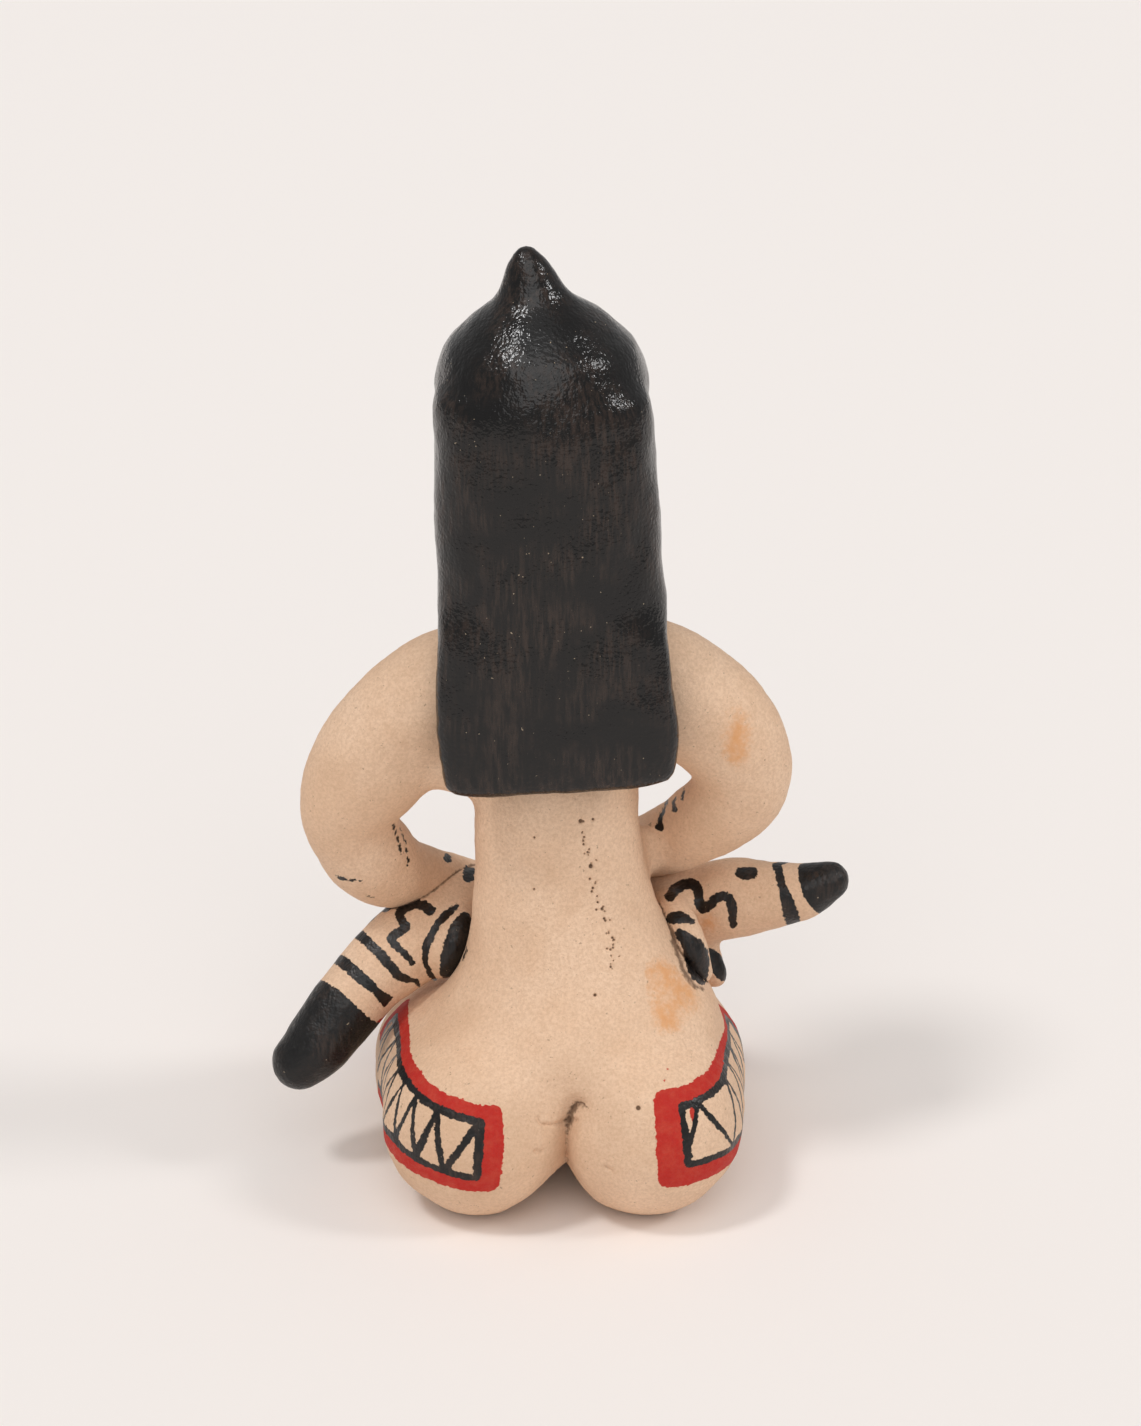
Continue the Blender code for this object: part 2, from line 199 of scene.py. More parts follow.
def settled(obj):
    """The same object with what its modifiers do made part of its mesh."""
    bpy.context.view_layer.update()
    mesh = bpy.data.meshes.new_from_object(obj.evaluated_get(bpy.context.evaluated_depsgraph_get()))
    obj.modifiers.clear()
    obj.data = mesh
    return obj


def leg(side, hip, turn):
    """A coil that tapers from the round buttock to the toe and turns outwards on its way. The rows of LEG
    are (mm outwards from the hip, share of the turn, y, z, radius)."""
    stations = [(hip + side * (out + share * turn), y, z, radius) for out, share, y, z, radius in LEG]
    return coil_skin(stations, aside=(0, 0, 1))


legs = [leg(1, LEFT_HIP, LEFT_TURN), leg(-1, RIGHT_HIP, RIGHT_TURN)]
hips = fused("hips", [ring_skin(TORSO_RINGS), *legs], BODY_GRAIN, HIP_BLEND)


# The arms. Each is a sausage of clay, thickest at the shoulder, that swings out round the elbow and
# forwards over the animal. The left one is joined to her side by a web of clay in the armpit.

ARM_BLEND = 1.6
ARM_DEPTH = 0.84
LEFT_ARM = [
    (10.0, 0.0, 106.6, 10.6),
    (18.5, 0.0, 104.6, 12.0),
    (25.8, 0.0, 100.4, 12.4),
    (32.0, -0.5, 94.4, 12.3),
    (37.2, -1.0, 87.4, 12.0),
    (40.8, -2.0, 80.4, 10.7),
    (42.0, -3.2, 73.9, 9.0),
    (38.9, -6.2, 66.3, 9.3),
    (34.2, -10.8, 59.9, 8.3),
    (27.4, -17.2, 55.4, 6.4),
    (20.0, -24.6, 50.8, 5.5),
    (13.0, -30.4, 45.4, 4.7),
    (9.0, -32.6, 40.8, 3.8),
]
RIGHT_ARM = [
    (-9.0, 0.0, 107.5, 10.6),
    (-17.0, 0.0, 106.2, 11.8),
    (-24.4, 0.0, 101.4, 12.0),
    (-31.2, -0.5, 95.6, 11.4),
    (-35.2, -1.0, 89.0, 10.2),
    (-35.8, -2.0, 82.2, 9.4),
    (-32.6, -4.2, 76.6, 8.8),
    (-27.6, -8.4, 71.0, 8.0),
    (-21.8, -14.2, 64.9, 7.3),
    (-15.0, -21.4, 59.4, 6.1),
    (-9.0, -28.0, 53.0, 5.0),
    (-5.6, -32.0, 46.6, 3.9),
]
ARMPIT_PLACE = (19.5, -0.5, 89.3)
ARMPIT_RADII = (8.2, 8.4, 7.6)
CHEST_MIDDLE = 0.6
BREAST_APART = 8.0
BREAST_FRONT, BREAST_HEIGHT = -12.5, 92.5
BREAST_RADII = (6.4, 6.0, 6.8)

arms = [coil_skin(stations, aside=(0, 1, 0.2), depth=ARM_DEPTH) for stations in (LEFT_ARM, RIGHT_ARM)]
armpit = ball_skin(ARMPIT_PLACE, ARMPIT_RADII)
breasts = [
    ball_skin((CHEST_MIDDLE + side * BREAST_APART, BREAST_FRONT, BREAST_HEIGHT), BREAST_RADII)
    for side in (-1, 1)
]
body = fused("body", [hips, *arms, armpit, *breasts], BODY_GRAIN, ARM_BLEND)


# The animal. It lies across her lap in her arms, its head at her right and its thick tail at her left. The
# four legs are short pegs of clay pressed on.

ANIMAL_GRAIN = 0.9
ANIMAL_BLEND = 1.2
TRUNK = [
    (-54.3, -8.0, 58.9, 4.0),
    (-50.8, -9.0, 56.8, 5.2),
    (-47.4, -10.0, 55.2, 6.1),
    (-41.7, -12.0, 53.6, 7.4),
    (-36.5, -14.0, 52.2, 8.4),
    (-30.2, -16.5, 50.0, 8.5),
    (-23.5, -19.0, 48.4, 8.8),
    (-16.4, -21.4, 47.0, 9.2),
    (-2.0, -24.0, 45.0, 9.7),
    (12.5, -21.5, 45.6, 10.0),
    (21.5, -15.5, 46.6, 10.2),
    (29.5, -9.5, 45.1, 8.9),
    (34.5, -6.5, 42.0, 8.3),
    (38.9, -4.0, 38.6, 7.7),
    (42.9, -1.5, 34.4, 7.5),
    (46.5, 0.5, 30.2, 7.0),
    (50.0, 2.0, 25.8, 6.6),
    (52.6, 3.0, 23.4, 5.8),
]
FORE_NEAR = [
    (-21.0, -13.0, 52.0, 3.4),
    (-23.0, -3.0, 54.0, 3.3),
    (-25.4, 2.0, 50.5, 3.4),
    (-27.4, 2.0, 45.5, 3.0),
    (-28.4, 1.0, 42.6, 2.5),
]
FORE_FAR = [
    (-26.0, -20.0, 47.0, 3.6),
    (-28.4, -18.4, 42.6, 3.2),
    (-30.0, -16.6, 38.6, 3.0),
    (-31.5, -14.6, 34.4, 2.9),
]
HIND_FAR = [(14.0, -26.0, 44.0, 4.4), (15.5, -29.0, 38.6, 3.6), (16.0, -30.5, 34.0, 3.2)]
HAUNCH_PLACE = (22.0, -6.4, 46.0)
HAUNCH_RADII = (4.3, 7.0, 8.0)
HAUNCH_TURN = -17.0

trunk = coil_skin(TRUNK, aside=(0, 0, 1))
pegs = [coil_skin(stations, aside=(0, 1, 0)) for stations in (FORE_NEAR, FORE_FAR, HIND_FAR)]
hind_near = ball_skin(HAUNCH_PLACE, HAUNCH_RADII, turn_y=HAUNCH_TURN)
animal = fused("animal", [trunk, *pegs, hind_near], ANIMAL_GRAIN, ANIMAL_BLEND)


# The head and the hair. The head is a plain egg of clay with a small nose. The hair is a thick cap laid
# over it, drawn up to a peak on the crown, cut straight over the forehead and at the hem half-way down the
# back.

HEAD_GRAIN = 0.95
HEAD_BLEND = 0.9
HAIR_BLEND = 1.6
NOSE = [(3.2, -20.2, 155.0, 1.0), (2.9, -21.2, 151.0, 1.5), (2.7, -21.8, 147.5, 1.9)]
HEAD_RINGS = [
    (124.5, 1.6, 4.0, 2.0, -10.0, 2.0),
    (126.0, 1.7, 8.0, 5.0, -14.5, 2.0),
    (130.0, 1.9, 12.0, 8.0, -18.4, 2.1),
    (136.0, 2.3, 15.4, 11.0, -20.2, 2.2),
    (144.0, 2.6, 17.4, 14.0, -20.8, 2.3),
    (153.0, 3.0, 18.4, 16.0, -21.0, 2.3),
    (163.0, 3.3, 18.0, 16.0, -20.6, 2.2),
    (170.0, 3.5, 15.5, 13.0, -18.4, 2.1),
    (175.0, 3.6, 10.0, 8.0, -12.0, 2.0),
]
HEM = 88.8
HEM_SLOPE = 0.06
SLOPE_TOP = 112.0
SLOPE_REACH = 22.0
SLAB = 8.6
BANGS_STEP = 1.4
FALL_RINGS = [
    (HEM, 0.0, 17.0, 18.4, 19.6 - 0.6 * SLAB, 2.4),
    (HEM + 0.6, 0.0, 20.6, 19.6, 20.2 - 0.9 * SLAB, 2.8),
    (HEM + 2.4, 0.1, 22.2, 20.4, 20.8 - SLAB, 3.0),
    (HEM + 7.0, 0.1, 22.8, 20.8, 21.0 - SLAB, 3.0),
    (107.0, 0.8, 22.7, 20.9, 21.0 - 1.1 * SLAB, 2.9),
    (117.0, 1.3, 22.4, 20.7, 8.0, 2.7),
    (126.0, 1.7, 21.8, 20.4, -3.0, 2.5),
    (135.0, 1.9, 21.3, 20.3, -5.0, 2.4),
    (145.0, 2.4, 21.3, 20.2, -6.0, 2.4),
    (155.0, 2.8, 20.8, 19.8, -7.0, 2.3),
    (164.0, 3.3, 20.4, 18.8, -8.0, 2.2),
    (167.0, 3.4, 18.4, 16.4, -8.0, 2.1),
]
DOME_RINGS = [
    (162.0, 3.2, 17.5, 16.0, -19.2, 2.2),
    (162.6, 3.2, 19.8, 18.6, -20.8 - BANGS_STEP, 2.2),
    (165.0, 3.3, 20.3, 18.6, -20.6 - BANGS_STEP, 2.2),
    (168.5, 3.4, 19.6, 17.6, -19.6 - BANGS_STEP, 2.15),
    (172.8, 3.5, 17.7, 15.6, -17.6 - BANGS_STEP, 2.1),
    (175.6, 3.6, 14.9, 13.1, -15.0 - BANGS_STEP, 2.05),
    (177.8, 3.6, 12.9, 11.2, -12.2 - BANGS_STEP, 2.0),
    (179.9, 3.8, 10.0, 8.8, -9.4 - BANGS_STEP, 2.0),
    (181.8, 4.4, 7.5, 6.8, -7.2, 2.0),
    (183.7, 5.0, 6.2, 5.6, -5.8, 2.0),
    (185.6, 5.3, 5.3, 4.7, -4.9, 2.0),
    (187.6, 5.6, 4.4, 4.0, -4.1, 2.0),
    (189.6, 5.9, 3.2, 2.9, -2.9, 2.0),
    (191.4, 6.2, 1.5, 1.4, -1.4, 2.0),
    (192.0, 6.2, 0.6, 0.6, -0.6, 2.0),
]


def hem_drop(x, z):
    """How far the hair hangs lower at x: the slope times x, in full near the hem and none from SLOPE_TOP
    upwards."""
    return HEM_SLOPE * x * np.clip((SLOPE_TOP - z) / SLOPE_REACH, 0.0, 1.0)


fall = ring_skin(FALL_RINGS)
fall[..., 2] -= hem_drop(fall[..., 0], fall[..., 2])
head = fused("head", [ring_skin(HEAD_RINGS), coil_skin(NOSE, aside=(1, 0, 0))], HEAD_GRAIN, HEAD_BLEND)
hair = fused("hair", [fall, ring_skin(DOME_RINGS)], HEAD_GRAIN, HAIR_BLEND)


# The whole doll. The soft parts are pressed together, the cleft is pressed in with a thumb, and the piece
# stands on its board while it stiffens, which flattens the underside. It is fired as one.

CLEFT = [
    (-1.3, -3.0, 24.0), (-1.3, 0.0, 23.0), (-1.3, 4.0, 17.5), (-1.3, 8.0, 11.0), (-1.3, 12.0, 6.6),
    (-1.3, 18.0, 4.8), (-1.6, 22.4, 4.0), (-2.3, 25.0, 3.2), (-3.6, 26.8, 2.6), (-5.3, 27.8, 0.9),
    (-6.7, 28.2, 0.0),
]
CLEFT_REACH = 14.0
CLEFT_LEFT = (3.0, 0.6)
CLEFT_RIGHT = (1.8, 0.27)
CLEFT_TOP = 34.0
CLEFT_FRONT = -6.0
FADE_FRONT, FADE_REACH = -4.0, 14.0
FINE_ASIDE, FINE_PUSH, FINE_FRONT, FINE_LOW = 2.5, 0.3, 10.0, -1.0
FINE_EDGE = 0.6
FINE_TURNS = 2
WELD = 4e-6
HAIR_FACE = 1


def joined(obj, others):
    """obj with the others united to it, which are used up."""
    for other in others:
        step = obj.modifiers.new("press", "BOOLEAN")
        step.operation = "UNION"
        step.solver = "EXACT"
        step.object = other
    settled(obj)
    for other in others:
        bpy.data.objects.remove(other)
    return obj


def read(items, name, width=1, kind=float):
    """One value, or one row of width values, from each vertex, edge, face or corner."""
    values = np.empty(len(items) * width, kind)
    items.foreach_get(name, values)
    return values.reshape(-1, width) if width > 1 else values


def finer(mesh, near, length):
    """Cuts in two each edge longer than length mm that has an end where near is true, and makes triangles
    again."""
    ends = read(mesh.edges, "vertices", 2, np.int32)
    place = read(mesh.vertices, "co", 3) / MM
    long = np.linalg.norm(place[ends[:, 0]] - place[ends[:, 1]], axis=1) > length
    shape = bmesh.new()
    shape.from_mesh(mesh)
    shape.edges.ensure_lookup_table()
    picked = [shape.edges[i] for i in np.flatnonzero(long & near[ends].any(axis=1))]
    bmesh.ops.subdivide_edges(shape, edges=picked, cuts=1)
    bmesh.ops.triangulate(shape, faces=shape.faces)
    shape.to_mesh(mesh)
    shape.free()


def cleft(place):
    """(mm aside from the cleft's line (x, z, depth), how far each place is pushed forwards). The push is
    the line's depth times the square of (1 - aside / reach). On each side the reach is a length plus a
    share of the depth."""
    line = smooth_rows(CLEFT)
    aside, push = np.full(len(place), CLEFT_REACH), np.zeros(len(place))
    near = (place[:, 1] > CLEFT_FRONT) & (place[:, 2] < CLEFT_TOP) & (np.abs(place[:, 0]) < CLEFT_REACH)
    near = np.flatnonzero(near)
    apart = np.linalg.norm(place[near][:, None, [0, 2]] - line[:, :2], axis=2)
    row = apart.argmin(axis=1)
    aside[near], depth = apart.min(axis=1), line[row, 2]
    left, right = (length + share * depth for length, share in (CLEFT_LEFT, CLEFT_RIGHT))
    wide = np.minimum(np.where(place[near, 0] > line[row, 0], left, right), CLEFT_REACH)
    push[near] = depth * np.clip(1.0 - aside[near] / wide, 0.0, 1.0) ** 2
    return aside, push


for form in (body, animal, head, hair):
    form.data.materials.append(None)
    form.data.materials.append(None)
hair.data.polygons.foreach_set("material_index", np.full(len(hair.data.polygons), HAIR_FACE, np.int32))
doll = joined(body, [animal, head, hair])
doll.name = "ceramic_doll_painted"
mesh = doll.data
for _ in range(FINE_TURNS):
    place = read(mesh.vertices, "co", 3) / MM
    aside, push = cleft(place)
    pressed = (aside < FINE_ASIDE) & (push > FINE_PUSH)
    finer(mesh, pressed & (place[:, 1] > FINE_FRONT) & (place[:, 2] > FINE_LOW), FINE_EDGE)
place = read(mesh.vertices, "co", 3) / MM
place[:, 1] -= cleft(place)[1] * np.clip((place[:, 1] - FADE_FRONT) / FADE_REACH, 0.0, 1.0)
mesh.vertices.foreach_set("co", (place * MM).ravel())

shape = bmesh.new()
shape.from_mesh(mesh)
whole = [*shape.verts, *shape.edges, *shape.faces]
level = {"plane_co": (0, 0, 0), "plane_no": (0, 0, -1)}
cut = bmesh.ops.bisect_plane(shape, geom=whole, dist=1e-7, clear_outer=True, **level)
rim = [edge for edge in cut["geom_cut"] if isinstance(edge, bmesh.types.BMEdge)]
bmesh.ops.contextual_create(shape, geom=rim)
bmesh.ops.triangulate(shape, faces=shape.faces)
bmesh.ops.remove_doubles(shape, verts=shape.verts, dist=WELD)
bmesh.ops.dissolve_degenerate(shape, edges=shape.edges, dist=WELD)
bmesh.ops.triangulate(shape, faces=shape.faces)
bmesh.ops.translate(shape, verts=shape.verts, vec=Vector(BODY_AXIS * MM))
shape.to_mesh(mesh)
shape.free()


# The painted marks on the animal, the arms and the face. They are brushed on in black and red slip,
# freehand, and the far side repeats the near side more plainly.

FAR = 4.0
SPREAD = 0.14
VIEW_AIM = (-2.05, 0.0, 98.3)
VIEW_ELEVATION = 22.0
VIEW_DISTANCE = 695.0
BRUSH_STEPS = 6
PAST_EDGE, PAST_EDGE_SHARE = 1.0, 0.5
FACE_AIM = (3.0, 0.0, 146.0)
LAP_AIM = (0.0, 0.0, 44.0)
SHOULDER_SQUIGGLE = [
    (19.4, -35.6, 0.95), (20.4, -34.4, 0.9), (21.9, -33.6, 0.85), (23.3, -33.3, 0.9), (24.7, -34.1, 0.9),
    (25.0, -35.6, 0.85), (25.2, -37.2, 0.95), (25.9, -38.1, 0.85), (27.2, -37.4, 0.8), (28.7, -36.2, 0.8),
    (30.1, -35.7, 0.85), (31.2, -36.5, 0.9), (31.6, -38.4, 0.85), (31.7, -40.9, 0.75),
]
NEAR_EYE = [(33.1, -31.2, 0.95), (34.2, -31.15, 1.2), (35.3, -31.2, 0.95)]
SHOULDER_BAND = [(19.5, -40.0, 0.9), (20.8, -39.8, 1.15), (22.3, -40.0, 0.8), (23.8, -40.9, 0.4)]
FORE_FOOT = [
    (21.2, -42.9, 0.7), (22.3, -43.9, 1.3), (23.9, -45.7, 1.9), (24.7, -47.8, 2.2), (24.9, -49.6, 2.0),
    (25.2, -51.2, 1.4), (25.5, -52.3, 0.7),
]
FAR_FORE_FOOT = [(27.3, -47.0, 0.9), (28.2, -48.4, 1.4), (29.2, -50.0, 1.5), (29.8, -51.1, 1.0)]
HAUNCH_SQUIGGLE = [
    (-27.4, -38.4, 0.95), (-28.5, -37.5, 0.9), (-30.2, -37.3, 0.8), (-32.0, -37.9, 0.8), (-33.3, -39.1, 0.8),
    (-32.9, -40.5, 0.75), (-32.2, -41.5, 0.8), (-33.4, -42.7, 0.8), (-34.9, -43.9, 0.85), (-34.2, -45.2, 0.7),
    (-32.4, -46.9, 0.65), (-30.8, -48.7, 0.6),
]
HAUNCH_ARC = [
    (-22.1, -37.7, 0.3), (-23.5, -38.7, 0.45), (-25.2, -40.3, 0.5), (-26.8, -42.5, 0.55), (-28.0, -45.4, 0.6),
    (-28.3, -48.3, 0.55), (-27.5, -50.6, 0.4), (-26.4, -51.9, 0.3),
]
HIND_FOOT = [
    (-20.7, -40.2, 1.0), (-21.6, -42.5, 1.8), (-22.5, -45.6, 2.2), (-23.4, -48.3, 2.0), (-24.1, -50.5, 1.2),
]
HAUNCH_SPOT = [(-19.8, -30.6, 1.0), (-19.8, -31.8, 1.0)]
WRIST_STROKES = [
    [(-45.9, -32.0, 0.02), (-44.0, -32.5, 0.1), (-40.6, -32.6, 0.02)],
    [(-39.7, -35.7, 0.03), (-38.3, -35.9, 0.03)],
    [(-34.6, -21.8, 0.0), (-33.8, -23.8, 0.04), (-33.2, -25.7, 0.06), (-33.0, -27.5, 0.02)],
    [(-33.2, -22.6, 0.0), (-32.3, -24.8, 0.03), (-31.7, -27.1, 0.03), (-31.7, -29.6, 0.0)],
    [(-24.1, -28.1, 0.6), (-23.9, -28.4, 0.6)],
    [(19.0, -17.0, 0.0), (18.2, -18.9, 0.15), (17.6, -20.9, 0.3), (17.3, -22.2, 0.8)],
    [(20.6, -16.6, 0.0), (20.2, -17.7, 0.15), (20.4, -18.9, 0.35)],
    [(22.3, -14.8, 0.0), (22.1, -15.8, 0.1), (21.9, -16.8, 0.15)],
]

# An eye or a brow is (mm from the middle, height, bend, its points as (mm along, radius)).
EYE = (6.6, 5.0, 0.14, ((-1.6, 0.8), (0.0, 1.5), (1.6, 0.8)))
BROW = (6.8, 10.4, 0.07, ((-3.4, 0.3), (0.0, 0.6), (3.4, 0.3)))
FACE_STROKES = [
    [(side * apart + along, height - bend * along**2, thick) for along, thick in points]
    for apart, height, bend, points in (EYE, BROW) for side in (-1, 1)
]
MOUTH = [(-3.0, -8.6, 0.6), (0.0, -9.2, 1.0), (3.0, -8.6, 0.6)]
CHEEK = [(11.0, -4.0, 2.0), (11.2, -4.3, 2.0)]
FACE_REDS = [MOUTH] + [[(side * out, height, radius) for out, height, radius in CHEEK] for side in (-1, 1)]
STRAY_REDS = [[(23.7, -77.0, 0.5), (24.0, -78.3, 0.8), (23.9, -79.4, 0.4)]] + [
    [(u, v, radius), (u + 0.2, v - 0.1, radius)]
    for u, v, radius in ((18.7, -69.2, 0.1), (19.3, -70.2, 0.14), (20.4, -68.6, 0.08), (18.2, -71.4, 0.08))
]
FINGER_GAPS = [
    (10.6, -1.2, -1.0), (8.8, -0.6, -1.0), (7.2, -0.2, -0.8), (-7.6, 4.8, 0.8), (-6.0, 5.2, 0.8),
    (-4.4, 5.8, 0.8),
]
FINGER_LENGTH, FINGER_LINE = 4.2, 0.1
FINGER_LINES = [
    [(x, z, FINGER_LINE), (x + lean, z - FINGER_LENGTH, FINGER_LINE)] for x, z, lean in FINGER_GAPS
]

clay_tree = BVHTree.FromObject(doll, bpy.context.evaluated_depsgraph_get())


def met(starts, aims, radii, most=math.inf):
    """Rows (place, facing, radius) where the ray from each start, the way it aims, meets the clay, in mm. A
    ray that meets none, or none within most mm, gives a row far off."""
    rows = []
    for start, aim, radius in zip(starts + BODY_AXIS, aims, radii):
        place, facing, _, gap = clay_tree.ray_cast(Vector(start * MM), Vector(aim))
        if place is None or gap > most * MM:
            place, facing, radius = Vector((0.0, 0.0, -1.0)), Vector((0.0, 0.0, 1.0)), 0.0
        rows.append([*(np.array(place) / MM - BODY_AXIS), *facing, radius])
    return np.array(rows)


def seen(stroke, aim, azimuth, elevation):
    """A stroke as (dots on the clay, the same points as drawn, the view). Its rows (u, v, radius) are mm
    right and up from aim in the plane that faces an eye VIEW_DISTANCE away. The ray from the eye through
    each point of its curve meets the clay in a dot. The view is the eye with the ways right, up and
    ahead."""
    turn, climb = math.radians(azimuth), math.radians(elevation)
    ahead = np.array([-math.sin(turn) * math.cos(climb), math.cos(turn) * math.cos(climb), -math.sin(climb)])
    right = np.cross(ahead, (0.0, 0.0, 1.0))
    right /= np.linalg.norm(right)
    axes = np.stack([right, np.cross(right, ahead), ahead])
    rows = smooth_rows(stroke, BRUSH_STEPS)
    aims = np.column_stack([rows[:, :2], np.full(len(rows), VIEW_DISTANCE)]) @ axes
    eye = aim - ahead * VIEW_DISTANCE
    return met(np.broadcast_to(eye, aims.shape), aims, rows[:, 2]), rows[:, :2], (eye, axes)


ROUND_TRUNK = 16.0
TRUNK_SHARES = 20
FAR_SIDE_MOST = 13.0

trunk_curve = smooth_rows(TRUNK)
trunk_way = np.gradient(trunk_curve[:, :3], axis=0)
trunk_length = np.append(0.0, np.cumsum(np.linalg.norm(np.diff(trunk_curve[:, :3], axis=0), axis=1)))
trunk_way /= np.linalg.norm(trunk_way, axis=1, keepdims=True)
trunk_top = (0.0, 0.0, 1.0) - trunk_way * trunk_way[:, 2:]
trunk_top /= np.linalg.norm(trunk_top, axis=1, keepdims=True)
trunk_far = np.cross(trunk_way, trunk_top)


def round_trunk(place):
    """Each place measured from the nearest point of the animal's curve: (mm along it, degrees round it from
    the top towards the doll's front, mm outside its radius, row of the curve)."""
    chart = np.full((len(place), 4), 2 * FAR)
    half_size = np.ptp(trunk_curve[:, :3], axis=0) / 2 + ROUND_TRUNK
    reachable = np.abs(place - trunk_curve[:, :3].mean(axis=0)) < half_size
    for part in np.array_split(np.flatnonzero(reachable.all(axis=1)), TRUNK_SHARES):
        row = np.linalg.norm(place[part, None] - trunk_curve[:, :3], axis=2).argmin(axis=1)
        from_curve = place[part] - trunk_curve[row, :3]
        axes = (trunk_way, trunk_top, trunk_far)
        along, high, far = (np.sum(from_curve * axis[row], axis=1) for axis in axes)
        angle = np.degrees(np.arctan2(far, high))
        outside = np.hypot(high, far) - trunk_curve[row, 3]
        chart[part] = np.stack([trunk_length[row] + along, angle, outside, row], axis=1)
    return chart


def far_side(stroke):
    """A stroke on the animal's near side, carried to the same place on its far side."""
    dots = stroke[0]
    length, angle, _, row = round_trunk(dots[:, :3]).T
    row = np.clip(row.astype(int), 0, len(trunk_curve) - 1)
    angle = np.radians(-angle)[:, None]
    start = trunk_curve[row, :3] + trunk_way[row] * (length - trunk_length[row])[:, None]
    aims = np.cos(angle) * trunk_top[row] + np.sin(angle) * trunk_far[row]
    return met(start, aims, dots[:, 6], most=FAR_SIDE_MOST), None, None


def reach(place, way, strokes):
    """Distance in mm from each place to the edge of the nearest stroke on clay that faces the same way, at
    most FAR. For a stroke with a view, it is measured in the plane in which the stroke was drawn, and the
    paint ends where the clay turns away from a dot by its radius, a share of it and PAST_EDGE."""
    gap = np.full(len(place), FAR)
    for dots, drawn, view in strokes:
        centre, facing, radius = dots[:, :3], dots[:, 3:6], dots[:, 6]
        kept = centre[:, 2] > -FAR
        centre, facing, radius = centre[kept], facing[kept], radius[kept]
        low, high = centre.min(axis=0) - FAR, centre.max(axis=0) + FAR
        near = np.flatnonzero(np.all((place > low) & (place < high), axis=1))
        apart = np.linalg.norm(place[near, None] - centre, axis=2)
        if view:
            eye, axes = view
            across, up, deep = axes @ (place[near] - eye).T * VIEW_DISTANCE
            flat = np.stack([across / deep, up / deep], axis=1) * VIEW_DISTANCE
            flat_apart = np.linalg.norm(flat[:, None] - drawn[kept], axis=2)
            apart = np.maximum(flat_apart, apart - PAST_EDGE_SHARE * radius - PAST_EDGE)
        apart = apart - radius
        apart[way[near] @ facing.T < 0.0] = FAR
        gap[near] = np.minimum(gap[near], apart.min(axis=1))
    return gap


def seen_from_behind(strokes):
    """Strokes drawn as the camera sees the doll."""
    return [seen(stroke, VIEW_AIM, 180.0, VIEW_ELEVATION) for stroke in strokes]


def seen_from_front(strokes, aim):
    """Strokes drawn as seen level from the front."""
    return [seen(stroke, aim, 0.0, 0.0) for stroke in strokes]


repeated_marks = seen_from_behind([SHOULDER_SQUIGGLE, NEAR_EYE, HAUNCH_SQUIGGLE, HAUNCH_ARC])
near_marks = seen_from_behind([SHOULDER_BAND, FORE_FOOT, FAR_FORE_FOOT, HIND_FOOT, HAUNCH_SPOT])
near_marks += seen_from_behind(WRIST_STROKES)
black_strokes = [*repeated_marks, *near_marks, *(far_side(stroke) for stroke in repeated_marks)]
black_strokes += [*seen_from_front(FACE_STROKES, FACE_AIM), *seen_from_front(FINGER_LINES, LAP_AIM)]
red_strokes = [*seen_from_front(FACE_REDS, FACE_AIM), *seen_from_behind(STRAY_REDS)]

MUZZLE_END = 4.4
SNOUT_BAND, SNOUT_HALF = 8.0, 0.85
FIRST_TAIL_BAND, FIRST_HALF = 101.2, 0.8
SECOND_TAIL_BAND, SECOND_HALF = 106.6, 0.85
TIP_START = 111.3
TRUNK_SKIN = 1.6


def animal_bands(place):
    """Distance to the bands round the animal: the black muzzle, a band behind it, two on the tail and the
    black tip. A band's middle drifts along the trunk, and its width changes, with the degrees down from the
    top: the snout's band bends back and widens, the first on the tail bends forwards and ends, the second
    widens and ends sooner."""
    along, angle, outside, _ = round_trunk(place).T
    down = np.abs(angle)
    low = np.clip((down - 75.0) / 35.0, 0.0, 1.0)
    muzzle = along - MUZZLE_END
    bend = 0.0003 * (down - 90.0) ** 2
    snout = np.abs(along - SNOUT_BAND - bend) - SNOUT_HALF - 0.3 * np.clip((down - 30.0) / 60.0, 0.0, 1.0)
    first_half = FIRST_HALF * np.clip((130.0 - down) / 30.0, -2.0, 1.0)
    first = np.abs(along - FIRST_TAIL_BAND + 2.2 * low**2) - first_half
    second = np.abs(along - SECOND_TAIL_BAND) - SECOND_HALF - 0.6 * low
    second = np.maximum(second, 0.134 * (down - 108.0))
    tip = TIP_START + 0.3 * np.sin(np.radians(3.0 * angle)) - along
    bands = np.minimum.reduce([muzzle, snout, first, second, tip])
    return np.where(outside < TRUNK_SKIN, bands, FAR)


# The painted frames on the thighs. Each is a red band round a black line, with a black zigzag inside,
# carried from the back of the hip round the side to the front.

THIGH_MIDDLE = LEG[0][2]
THIGH_RADIUS = 18.0
THIGH_LEVEL = 22.0
THIGH_TOP, THIGH_LOW, THIGH_OUT, THIGH_FRONT, THIGH_INNER = 34.0, 2.0, 21.0, 30.0, 5.0
TURN_OVER = 20.0
STEEPEST = 0.2
FRAME_LINE = 0.66
LINE_CORNER, RED_CORNER = 0.4, 2.6
ZIGZAG_THIN, ZIGZAG_THICKER = 0.30, 0.26
ZIGZAG_FROM, ZIGZAG_OVER = -6.0, 16.0
LEFT_FRAME = {
    "side": 1.0, "middle": LEFT_HIP, "lean": 0.09, "red_ends": (-33.2, 27.0), "ends": (-28.6, 22.4),
    "red_heights": (11.7, 14.6, 29.5, 32.4), "heights": (15.0, 18.8, 26.7, 29.8), "starts": (-28.0, 1.0),
    "turns": (-22.3, -19.2, -16.4, -12.6, -10.0, -6.5, -3.5, 0.0, 3.0, 6.4, 9.5, 12.8, 16.0, 19.2, 22.0),
}
